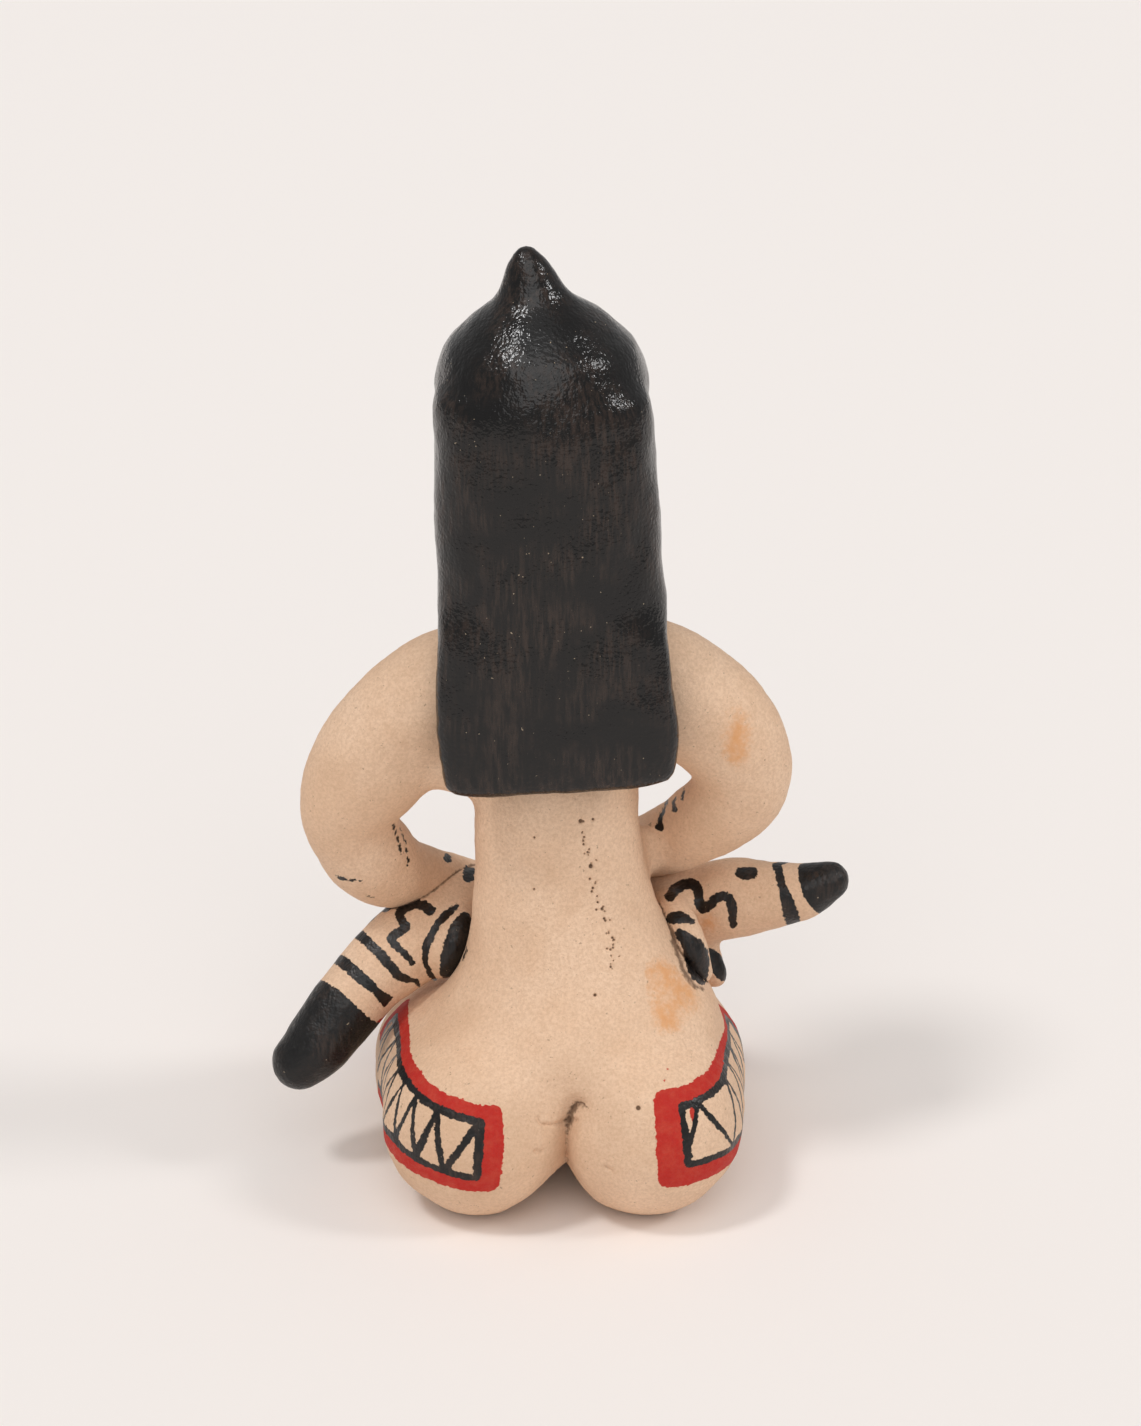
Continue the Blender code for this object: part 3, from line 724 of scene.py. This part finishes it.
RIGHT_FRAME = {
    "side": -1.0, "middle": RIGHT_HIP, "lean": 0.03, "red_ends": (-26.7, 27.0), "ends": (-20.7, 22.4),
    "red_heights": (12.6, 12.2, 31.8, 32.3), "heights": (17.3, 16.4, 28.6, 29.6), "starts": (-20.7, 0.33),
    "turns": (-16.7, -9.1, -4.2, -0.6, 3.0, 6.4, 9.5, 12.8, 16.0, 19.2, 22.0),
}


def box_gap(along, height, stretch, ends, low, high, corner):
    """Distance to the edge of a frame with round corners, negative inside. With q the gaps past the sides
    of the frame drawn in by the corner's radius, it is the length of q's positive part, plus the greater q
    where both are negative, less the radius."""
    past_end = np.abs(along - 0.5 * (ends[0] + ends[1])) - 0.5 * (ends[1] - ends[0]) + corner
    past_side = stretch * (np.abs(height - 0.5 * (low + high)) - 0.5 * (high - low)) + corner
    outside = np.hypot(np.maximum(past_end, 0.0), np.maximum(past_side, 0.0))
    return outside + np.minimum(np.maximum(past_end, past_side), 0.0) - corner


def thigh_paint(place, way, frame):
    """Distances (red, black) on one thigh. Along runs in mm round the hip: radius times angle at the back,
    then straight to the front along the side. Heights are stretched by how far the clay leans. A frame's
    heights are its low side at the back and further on, then its high side at the back and further on."""
    out = frame["side"] * (place[:, 0] - frame["middle"])
    back = place[:, 1] - THIGH_MIDDLE
    along = np.where(back > 0.0, -THIGH_RADIUS * np.arctan2(back, out), -back)
    height = place[:, 2]
    along = along + frame["lean"] * (height - THIGH_LEVEL)
    stretch = 1.0 / np.sqrt(np.maximum(1.0 - way[:, 2] ** 2, STEEPEST))
    turned = np.clip((along - frame["ends"][0]) / TURN_OVER, 0.0, 1.0)
    low, high, red_low, red_high = (
        heights[i] + (heights[i + 1] - heights[i]) * turned
        for heights in (frame["heights"], frame["red_heights"]) for i in (0, 2)
    )
    inner = box_gap(along, height, stretch, frame["ends"], low, high, LINE_CORNER)
    outer = box_gap(along, height, stretch, frame["red_ends"], red_low, red_high, RED_CORNER)
    black = np.abs(inner) - FRAME_LINE
    levels = np.resize([0.0, 1.0] if frame["starts"][1] > 0.5 else [1.0, 0.0], len(frame["turns"]))
    corners = [frame["starts"], *zip(frame["turns"], levels)]
    tall = stretch * (high - low)
    thick = ZIGZAG_THIN + ZIGZAG_THICKER * np.clip((ZIGZAG_FROM - along) / ZIGZAG_OVER, 0.0, 1.0)
    for (start, start_level), (stop, stop_level) in zip(corners, corners[1:]):
        from_start = np.stack([along - start, stretch * (height - low) - tall * start_level])
        line = np.stack([np.full_like(tall, stop - start), tall * (stop_level - start_level)])
        share = np.clip((from_start * line).sum(axis=0) / (line**2).sum(axis=0), 0.0, 1.0)
        black = np.minimum(black, np.hypot(*(from_start - share * line)) - thick)
    on_thigh = (height < THIGH_TOP) & (height > THIGH_LOW) & (out < THIGH_OUT) & (along < THIGH_FRONT)
    on_thigh &= ((back > 0.0) | (out > 0.0)) & (np.abs(place[:, 0]) > THIGH_INNER)
    return np.where(on_thigh, np.maximum(outer, -inner), FAR), np.where(on_thigh, black, FAR)


# The wear and the painted shade. The clay kept some wiped-on orange stains, a trail of pinholes down the back
# and a crack, and shade is painted darker into its folds, creases and cleft.

STAINS = [
    [(18.3, -51.6, 3.0), (18.6, -52.6, 3.0)],
    [(18.9, -57.8, 2.8), (19.1, -58.8, 2.6)],
    [(21.4, -54.6, 2.4), (22.4, -55.8, 2.0)],
    [(32.7, -1.0, 1.0), (32.4, -4.5, 1.6), (32.0, -8.5, 1.0)],
    [(26.4, -40.8, 0.6), (27.0, -41.2, 0.6)],
]
CRACK = [
    (19.2, -41.6, 0.1), (20.4, -44.8, 0.2), (21.3, -47.8, 0.2), (22.3, -50.5, 0.25), (23.9, -52.8, 0.2),
    (25.8, -54.0, 0.1),
]
PINHOLE_TRAIL = [
    (2.4, -21.2), (2.6, -23.6), (3.2, -26.4), (4.2, -30.0), (4.8, -34.3), (6.4, -38.6), (7.3, -41.5),
    (8.3, -46.2), (7.9, -49.5),
]
PINHOLES = 46
PINHOLE_STRAY = (0.55, 0.4)
PINHOLE_RADII = (0.1, 0.24)
LONE_PINHOLES = [
    (4.8, -55.0, 0.3), (13.2, -77.0, 0.45), (4.4, -20.7, 0.25), (2.0, -21.1, 0.4), (4.0, -29.9, 0.4),
    (6.3, -38.3, 0.3), (-7.2, -34.5, 0.2), (-7.0, -24.2, 0.2),
]
CREASES = [
    [
        (-6.1, -78.9, 0.0), (-5.5, -80.0, 0.0), (-4.0, -80.3, 0.0), (-2.0, -80.0, 0.05), (-0.4, -79.4, 0.1),
        (0.8, -79.3, 0.1),
    ],
    [(-6.9, -85.4, 0.0), (-6.0, -85.6, 0.05), (-5.2, -85.4, 0.0)],
    [(6.8, -88.6, 0.0), (7.4, -88.9, 0.05), (8.0, -89.4, 0.0)],
]
FOLD_ANGLE = 35.0
FOLD_SHARES = 3
CLEFT_CLEAR = 5.0
GROUP_WIDTH, GROUP_HEIGHT, GROUP_SIZE = 12.0, 8.0, 60
# Sizes of the dark line painted as shade along the cleft: how far it spreads, how much it narrows, from where
# and over what height.
CLEFT_SHADE, CLEFT_SHADE_TAPER, CLEFT_SHADE_TOP, CLEFT_SHADE_OVER = 0.3, 0.45, 24.0, 5.0
CLEFT_LINE_BACK, CLEFT_LINE_TOP = 8.0, 27.6
ANKLE, ANKLE_BACK, ANKLE_RED = -44.0, -36.0, 1.9
ANKLE_LINE, ANKLE_LINE_HALF = 2.7, 0.45
FOOT_ROUND, FOOT_LOW, FOOT_TOP = 5.0, 30.6, 37.4

chance = np.random.default_rng(7)
trail = smooth_rows(PINHOLE_TRAIL)
trail = trail[np.sort(chance.integers(0, len(trail), PINHOLES))]
trail += chance.normal(0.0, PINHOLE_STRAY, (PINHOLES, 2))
trail = np.column_stack([trail, chance.uniform(*PINHOLE_RADII, PINHOLES)])
pinholes = seen_from_behind([[hole, hole] for hole in [*trail, *LONE_PINHOLES]])
stains = seen_from_behind(STAINS)
creases = seen_from_behind(CREASES)
crack = seen_from_behind([CRACK])


def in_groups(points):
    """Points as small groups of dots without size or facing, each group close together in height."""
    dots = np.column_stack([points, np.zeros((len(points), 4))])
    dots = dots[np.lexsort((dots[:, 0] // GROUP_WIDTH, dots[:, 2] // GROUP_HEIGHT))]
    return [(part, None, None) for part in np.array_split(dots, max(1, len(dots) // GROUP_SIZE))]


def fold_points(mesh):
    """Points along the folds, where two faces turn towards each other by more than FOLD_ANGLE, and points
    along the line where the hair's skin meets the body's. The folds near the cleft's line are left out."""
    edge_of_corner = read(mesh.loops, "edge_index", kind=np.int32)
    order = np.argsort(edge_of_corner, kind="stable")
    shared = np.flatnonzero(np.diff(edge_of_corner[order]) == 0)
    one, other = order[shared] // 3, order[shared + 1] // 3
    facing, middle = read(mesh.polygons, "normal", 3), read(mesh.polygons, "center", 3)
    finish = read(mesh.polygons, "material_index", kind=np.int32)
    inward = np.sum((middle[other] - middle[one]) * facing[one], axis=1) > 0.0
    bent = np.sum(facing[one] * facing[other], axis=1) < math.cos(math.radians(FOLD_ANGLE))
    ends = read(mesh.edges, "vertices", 2, np.int32)[edge_of_corner[order[shared]]]
    place = read(mesh.vertices, "co", 3) / MM - BODY_AXIS
    shares = np.linspace(0.0, 1.0, FOLD_SHARES, endpoint=False)[:, None, None]
    points = place[ends[:, 0]] * (1.0 - shares) + place[ends[:, 1]] * shares
    folds = inward & bent & (cleft(points[0])[0] > CLEFT_CLEAR)
    rims = finish[one] != finish[other]
    return in_groups(points[:, folds].reshape(-1, 3)), in_groups(points[:, rims].reshape(-1, 3))


folds, hair_rim = fold_points(mesh)


def marks(mesh):
    """The distance of each vertex to the edge of each paint, wear and painted shade, in mm, negative inside
    it.
    """
    place = read(mesh.vertices, "co", 3) / MM - BODY_AXIS
    way = read(mesh.vertices, "normal", 3)
    reds, blacks = zip(*(thigh_paint(place, way, frame) for frame in (LEFT_FRAME, RIGHT_FRAME)))
    x, y, z = place.T
    # Painted shade: a dark line along the cleft, narrower low down, stands in for the shadow in the deep
    # fold.
    taper = CLEFT_SHADE_TAPER * np.clip((CLEFT_SHADE_TOP - z) / CLEFT_SHADE_OVER, 0.0, 1.0)
    cleft_shade = cleft(place)[0] - CLEFT_SHADE + taper
    cleft_shade = np.where((y > CLEFT_LINE_BACK) & (z < CLEFT_LINE_TOP), cleft_shade, FAR)
    from_ankle = np.where(y < ANKLE_BACK, np.abs(y - ANKLE), FAR * 2)
    ankle_lines = np.abs(from_ankle - ANKLE_LINE) - ANKLE_LINE_HALF
    from_foot = np.hypot(x - HIND_FAR[-1][0], y - HIND_FAR[-1][1])
    foot = np.where((from_foot < FOOT_ROUND) & (z > FOOT_LOW), z - FOOT_TOP, FAR)
    black = [*blacks, reach(place, way, black_strokes), animal_bands(place), ankle_lines, foot]
    red = [*reds, reach(place, way, red_strokes), from_ankle - ANKLE_RED]
    return {
        "black": np.minimum.reduce(black) - SPREAD,
        "red": np.minimum.reduce(red),
        "stain": reach(place, way, stains),
        "pit": reach(place, way, pinholes),
        "crease": reach(place, way, creases),
        # Painted shade in the folds and the cleft, together with the real dark line of the crack.
        "shade_and_crack": np.minimum(reach(place, way, [*folds, *crack]), cleft_shade),
    }


PAINT_MARGINS = (0.8, 0.5)
PIT_MARGIN, CREASE_MARGIN = 0.5, 0.6
PIT_EDGE = 0.25

for margin in PAINT_MARGINS:
    found = marks(mesh)
    edge_near = np.minimum(np.abs(found["black"]), np.abs(found["red"])) < margin
    finer(mesh, edge_near | (found["pit"] < PIT_MARGIN) | (found["crease"] < CREASE_MARGIN), FINE_EDGE)
finer(mesh, marks(mesh)["pit"] < PIT_EDGE, PIT_EDGE)

# Two faces on the same three vertices hold no clay between them, and both are taken out.
corners = np.sort(read(mesh.loops, "vertex_index", kind=np.int32).reshape(-1, 3), axis=1)
_, same_corners, count = np.unique(corners, axis=0, return_inverse=True, return_counts=True)
shape = bmesh.new()
shape.from_mesh(mesh)
shape.faces.ensure_lookup_table()
back_to_back = [shape.faces[i] for i in np.flatnonzero(count[same_corners.ravel()] > 1)]
bmesh.ops.delete(shape, geom=back_to_back, context="FACES")
shape.to_mesh(mesh)
shape.free()

found = marks(mesh)
finish_of_face = read(mesh.polygons, "material_index", kind=np.int32)
place = read(mesh.vertices, "co", 3) / MM - BODY_AXIS
way = read(mesh.vertices, "normal", 3)
corner_vertex = read(mesh.loops, "vertex_index", kind=np.int32)
from_hair = reach(place, way, hair_rim)[corner_vertex]
from_hair[np.repeat(finish_of_face == HAIR_FACE, 3)] = -FAR
mesh.attributes.new("hair", "FLOAT", "CORNER").data.foreach_set("value", from_hair)
for name, distances in found.items():
    mesh.attributes.new(name, "FLOAT", "POINT").data.foreach_set("value", distances)


# The surface. It was smoothed by hand with a wet finger, so it is nowhere quite even. The pinholes and the
# creases are sunk into it.

WAVE_HEIGHT = 0.12
HAIR_WAVES = 0.3
RIPPLE_HEIGHT = 0.035
CROWN_START, CROWN_OVER, CROWN_CALM = 158.0, 22.0, 0.85
UNDERSIDE, UNDERSIDE_OVER = 0.4, 4.0
PIT_DEPTH, PIT_RIM = 0.5, 0.3
CREASE_DEPTH, CREASE_WIDTH = 0.5, 0.4
SHARP_ANGLE = 48.0


def waves(place, seed, count, shortest, longest):
    """A sum of sine waves that run all ways, with wavelengths from shortest to longest mm, about 1 high."""
    chance = np.random.default_rng(seed)
    ways = chance.normal(size=(3, count))
    ways *= 2 * np.pi / (np.linalg.norm(ways, axis=0) * chance.uniform(shortest, longest, count))
    return np.sin(place @ ways + chance.uniform(0, 2 * np.pi, count)).sum(axis=1) / math.sqrt(count / 2)


hair_vertex = np.zeros(len(place))
hair_vertex[corner_vertex[np.repeat(finish_of_face == HAIR_FACE, 3)]] = 1.0
on_crown = np.clip((place[:, 2] - CROWN_START) / CROWN_OVER, 0.0, CROWN_CALM)
lift = WAVE_HEIGHT * (1.0 + HAIR_WAVES * hair_vertex) * (1.0 - on_crown)
lift *= waves(place, seed=11, count=18, shortest=9.0, longest=26.0)
lift += RIPPLE_HEIGHT * waves(place, seed=12, count=30, shortest=2.5, longest=6.0)
lift *= np.clip((place[:, 2] - UNDERSIDE) / UNDERSIDE_OVER, 0.0, 1.0)
lift -= PIT_DEPTH * np.clip(0.5 - found["pit"] / PIT_RIM, 0.0, 1.0)
lift -= CREASE_DEPTH * np.exp(-((np.maximum(found["crease"], 0.0) / CREASE_WIDTH) ** 2))
mesh.vertices.foreach_set("co", ((place + way * lift[:, None] + BODY_AXIS) * MM).ravel())
mesh.shade_smooth()
mesh.set_sharp_from_angle(angle=math.radians(SHARP_ANGLE))


# The finish. Red-brown clay fired to a warm buff, with black slip polished to a satin on the hair and left
# duller on the marks, and a dry red slip.

BUFF = (0.81, 0.547, 0.365, 1.0)
BUFF_PALE = (0.88, 0.625, 0.44, 1.0)
BUFF_DEEP = (0.60, 0.38, 0.235, 1.0)
# A dark brown for the specks in the clay and the crack, and for painted shade in the folds, creases and
# cleft.
DIRT_AND_SHADE = (0.14, 0.075, 0.04, 1.0)
ORANGE = (0.75, 0.34, 0.12, 1.0)
RED = (0.50, 0.014, 0.006, 1.0)
RED_THIN = (0.53, 0.038, 0.018, 1.0)
BLACK = (0.0016, 0.001, 0.0009, 1.0)
BLACK_THIN = (0.03, 0.018, 0.013, 1.0)
CREAM = (0.42, 0.33, 0.23, 1.0)
CLOUDS, SAND, DARK_SPECKS, PALE_SPECKS = 0.45, 0.5, 0.45, 0.75
STAIN_SHARES = (0.26, 0.78)
# Shares of painted shade in the creases, of painted shade in the folds and cleft with the crack, and of
# darkening in the pinholes.
CREASE_SHADE, SHADE_AND_CRACK, PIT_DARKENING = 0.2, 0.85, 0.9
SATIN, DULL, MATTE = (0.14, 0.22), (0.3, 0.48), (0.62, 0.82)
SHEEN = 0.44
PEEL_MM, BRISTLES_MM, SAND_MM = 0.14, 0.05, 0.24
STREAK_STRETCH, BRISTLE_STRETCH = (1.0, 1.0, 0.12), (1.0, 1.0, 0.14)
MIX_FACTOR = 0
NUMBER_FROM, NUMBER_TO, NUMBER_RESULT = 2, 3, 0
COLOUR_FROM, COLOUR_TO, COLOUR_RESULT = 6, 7, 2


def node(tree, kind, inputs=(), **settings):
    """A new node with its settings. An input is a value, or another node's output."""
    made = tree.nodes.new(kind)
    for name, value in settings.items():
        setattr(made, name, value)
    for key, value in dict(inputs).items():
        if isinstance(value, bpy.types.NodeSocket):
            tree.links.new(value, made.inputs[key])
        else:
            made.inputs[key].default_value = value
    return made


def new_group(name, inputs, outputs):
    """An empty node group with number inputs and number outputs, and its two end nodes."""
    tree = bpy.data.node_groups.new(name, "ShaderNodeTree")
    for label, value in inputs.items():
        tree.interface.new_socket(label, in_out="INPUT", socket_type="NodeSocketFloat").default_value = value
    for label in outputs:
        tree.interface.new_socket(label, in_out="OUTPUT", socket_type="NodeSocketFloat")
    return tree, tree.nodes.new("NodeGroupInput").outputs, tree.nodes.new("NodeGroupOutput")


def ramp(tree, value, low, high, ends=(0.0, 1.0)):
    """The value carried smoothly from low..high to the two ends."""
    inputs = {"Value": value, "From Min": low, "From Max": high, "To Min": ends[0], "To Max": ends[1]}
    return node(tree, "ShaderNodeMapRange", inputs, interpolation_type="SMOOTHSTEP").outputs["Result"]


def maths(tree, operation, *values):
    """The result of one operation on one to three numbers."""
    return node(tree, "ShaderNodeMath", dict(enumerate(values)), operation=operation).outputs[0]


def spots(tree, scale, detail=2.0, rough=0.5, stretch=(1.0, 1.0, 1.0)):
    """Noise on the object's own coordinates, with scale in turns per metre."""
    where = node(tree, "ShaderNodeTexCoord").outputs["Object"]
    where = node(tree, "ShaderNodeMapping", {"Vector": where, "Scale": stretch}).outputs["Vector"]
    inputs = {"Vector": where, "Scale": scale, "Detail": detail, "Roughness": rough}
    return node(tree, "ShaderNodeTexNoise", inputs).outputs["Fac"]


brush, given, out = new_group("brushed edge", {"Distance": 0.0, "Wobble": 0.2, "Softness": 0.1}, ["Mask"])
slow = maths(brush, "MULTIPLY", maths(brush, "SUBTRACT", spots(brush, 170.0), 0.5), 0.8)
quick = maths(brush, "SUBTRACT", spots(brush, 1150.0), 0.5)
shaky = maths(brush, "ADD", slow, quick)
edge = maths(brush, "MULTIPLY_ADD", shaky, given["Wobble"], given["Distance"])
brush.links.new(ramp(brush, maths(brush, "DIVIDE", edge, given["Softness"]), 1.0, -1.0), out.inputs["Mask"])

grain_outputs = ["Tone", "Sand", "Dark specks", "Pale specks", "Height"]
grain, given, out = new_group("fired clay grain", {}, grain_outputs)
grain.links.new(ramp(grain, spots(grain, 55.0, 4.0, 0.62), 0.32, 0.68), out.inputs["Tone"])
grain.links.new(ramp(grain, spots(grain, 1500.0, 3.0, 0.75), 0.33, 0.67), out.inputs["Sand"])
grain.links.new(ramp(grain, spots(grain, 1150.0, 2.0, 0.65), 0.68, 0.74), out.inputs["Dark specks"])
grain.links.new(ramp(grain, spots(grain, 1500.0, 1.0, 0.5), 0.775, 0.81), out.inputs["Pale specks"])
grain.links.new(spots(grain, 1400.0, 5.0, 0.7), out.inputs["Height"])

ceramic = bpy.data.materials.new("fired clay with black and red slip")
ceramic.use_nodes = True
tree = ceramic.node_tree
shader = tree.nodes["Principled BSDF"]


def share_of(mask, share):
    """The mask, made weaker by the share."""
    return maths(tree, "MULTIPLY", mask, share)


def distance_to(name):
    """The distance attribute of a paint or of wear."""
    return node(tree, "ShaderNodeAttribute", attribute_name=name).outputs["Fac"]


def brushed(name, wobble, softness, shift=0.0):
    """The mask of a paint, from its distance attribute."""
    made = node(tree, "ShaderNodeGroup", node_tree=brush)
    tree.links.new(maths(tree, "ADD", distance_to(name), shift), made.inputs["Distance"])
    made.inputs["Wobble"].default_value = wobble
    made.inputs["Softness"].default_value = softness
    return made.outputs["Mask"]


def mixed(factor, start, stop):
    """The colour start, carried to stop by the factor."""
    inputs = {MIX_FACTOR: factor, COLOUR_FROM: start, COLOUR_TO: stop}
    return node(tree, "ShaderNodeMix", inputs, data_type="RGBA").outputs[COLOUR_RESULT]


def either(factor, start, stop):
    """The number start, carried to stop by the factor."""
    inputs = {MIX_FACTOR: factor, NUMBER_FROM: start, NUMBER_TO: stop}
    return node(tree, "ShaderNodeMix", inputs, data_type="FLOAT").outputs[NUMBER_RESULT]


grained = node(tree, "ShaderNodeGroup", node_tree=grain).outputs
colour = mixed(grained["Tone"], BUFF, BUFF_PALE)
clouds = ramp(tree, spots(tree, 21.0, 3.0, 0.6), 0.5, 0.72)
colour = mixed(share_of(clouds, CLOUDS), colour, BUFF_DEEP)
colour = mixed(share_of(grained["Sand"], SAND), colour, BUFF_DEEP)
colour = mixed(share_of(grained["Dark specks"], DARK_SPECKS), colour, DIRT_AND_SHADE)
blotches = ramp(tree, spots(tree, 330.0, 4.0, 0.65), 0.3, 0.65, STAIN_SHARES)
colour = mixed(share_of(brushed("stain", 3.4, 1.8, -0.4), blotches), colour, ORANGE)
# Painted shade in the pressed creases of the lower back.
colour = mixed(share_of(brushed("crease", 0.9, 0.15, -0.05), CREASE_SHADE), colour, DIRT_AND_SHADE)
# Painted shade darkens the folds between the parts and the cleft, and the crack is painted dark along its
# line.
colour = mixed(share_of(brushed("shade_and_crack", 1.1, 0.3, -0.25), SHADE_AND_CRACK), colour, DIRT_AND_SHADE)
worn = ramp(tree, spots(tree, 420.0, 3.0, 0.65), 0.38, 0.72)
colour = mixed(brushed("red", 1.1, 0.09), colour, mixed(worn, RED, RED_THIN))
on_hair = brushed("hair", 0.35, 0.1, -0.12)
covered = maths(tree, "MAXIMUM", brushed("black", 0.95, 0.09), on_hair)
streaks = ramp(tree, spots(tree, 1150.0, 5.0, 0.7, STREAK_STRETCH), 0.40, 0.64)
patches = ramp(tree, spots(tree, 75.0, 4.0, 0.6), 0.38, 0.60)
slip = mixed(share_of(streaks, patches), BLACK, BLACK_THIN)
slip = mixed(share_of(grained["Pale specks"], PALE_SPECKS), slip, CREAM)
colour = mixed(covered, colour, slip)
# The pinholes are coloured darker inside.
in_pit = ramp(tree, distance_to("pit"), 0.12, -0.1)
colour = mixed(share_of(in_pit, PIT_DARKENING), colour, DIRT_AND_SHADE)
tree.links.new(colour, shader.inputs["Base Color"])

satin = ramp(tree, spots(tree, 240.0, 3.0, 0.6), 0.3, 0.7, SATIN)
dull = ramp(tree, spots(tree, 700.0, 3.0, 0.6), 0.3, 0.7, DULL)
matte = ramp(tree, grained["Height"], 0.3, 0.7, MATTE)
rough = either(covered, matte, either(on_hair, dull, satin))
tree.links.new(rough, shader.inputs["Roughness"])
shader.inputs["Specular IOR Level"].default_value = SHEEN
peel = share_of(spots(tree, 1400.0, 1.0, 0.5), PEEL_MM)
bristles = share_of(spots(tree, 1500.0, 1.0, 0.5, BRISTLE_STRETCH), BRISTLES_MM)
sand = share_of(grained["Height"], SAND_MM)
height = either(covered, sand, maths(tree, "ADD", peel, bristles))
bump = node(tree, "ShaderNodeBump", {"Height": height, "Strength": 1.0, "Distance": MM})
tree.links.new(bump.outputs["Normal"], shader.inputs["Normal"])

mesh.polygons.foreach_set("material_index", np.zeros(len(mesh.polygons), np.int32))
mesh.materials.clear()
mesh.materials.append(ceramic)
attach(doll, "root")
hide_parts("ceramic_doll")


# The board it is shown on, the soft light round it, and the camera behind it and above, where it was looked
# at from.

FLOOR_REACH = 4.0
FLOOR_COLOUR = (0.925, 0.872, 0.838, 1.0)
FLOOR_ROUGH, FLOOR_SHEEN = 0.9, 0.1
LAMPS = [
    ((0.42, 0.25, 0.87), 0.76, 10.0),
    ((-0.75, 0.14, 0.64), 0.56, 12.0),
    ((0.1, 0.4, 0.9), 0.27, 60.0),
    ((0.0, 0.75, 0.66), 0.62, 50.0),
]
ROOM_COLOUR = (1.0, 0.995, 0.99, 1.0)
ROOM_LIGHT = 0.435
LENS = 90.0
FILM = 36.0

board = bpy.data.meshes.new("pale floor")
corners = np.array([(-1, -1, 0), (1, -1, 0), (1, 1, 0), (-1, 1, 0)]) * FLOOR_REACH
board.from_pydata(corners.tolist(), [], [(0, 1, 2, 3)])
floor = bpy.data.objects.new("pale_floor", board)
bpy.context.scene.collection.objects.link(floor)
paper = bpy.data.materials.new("pale paper")
paper.use_nodes = True
matt_paper = paper.node_tree.nodes["Principled BSDF"].inputs
matt_paper["Base Color"].default_value = FLOOR_COLOUR
matt_paper["Roughness"].default_value = FLOOR_ROUGH
matt_paper["Specular IOR Level"].default_value = FLOOR_SHEEN
board.materials.append(paper)

target = Vector((np.array(VIEW_AIM) + BODY_AXIS) * MM)
for number, (direction, strength, width) in enumerate(LAMPS, start=1):
    light = bpy.data.lights.new(f"soft light {number}", "SUN")
    light.angle = math.radians(width)
    light.energy = strength
    lamp = bpy.data.objects.new(light.name, light)
    lamp.rotation_euler = Vector(direction).to_track_quat("Z", "Y").to_euler()
    bpy.context.scene.collection.objects.link(lamp)

room = bpy.context.scene.world or bpy.data.worlds.new("room")
bpy.context.scene.world = room
room.use_nodes = True
glow = room.node_tree.nodes["Background"].inputs
glow["Color"].default_value = ROOM_COLOUR
glow["Strength"].default_value = ROOM_LIGHT
bpy.context.scene.view_settings.view_transform = "Standard"

climb = math.radians(VIEW_ELEVATION)
back = Vector((0.0, math.cos(climb), math.sin(climb))) * VIEW_DISTANCE * MM
camera_data = bpy.data.cameras.new("camera")
camera_data.lens = LENS
camera_data.sensor_width = FILM
camera = bpy.data.objects.new("camera", camera_data)
camera.location = target + back
camera.rotation_euler = (-back).to_track_quat("-Z", "Y").to_euler()
bpy.context.scene.collection.objects.link(camera)
bpy.context.scene.camera = camera
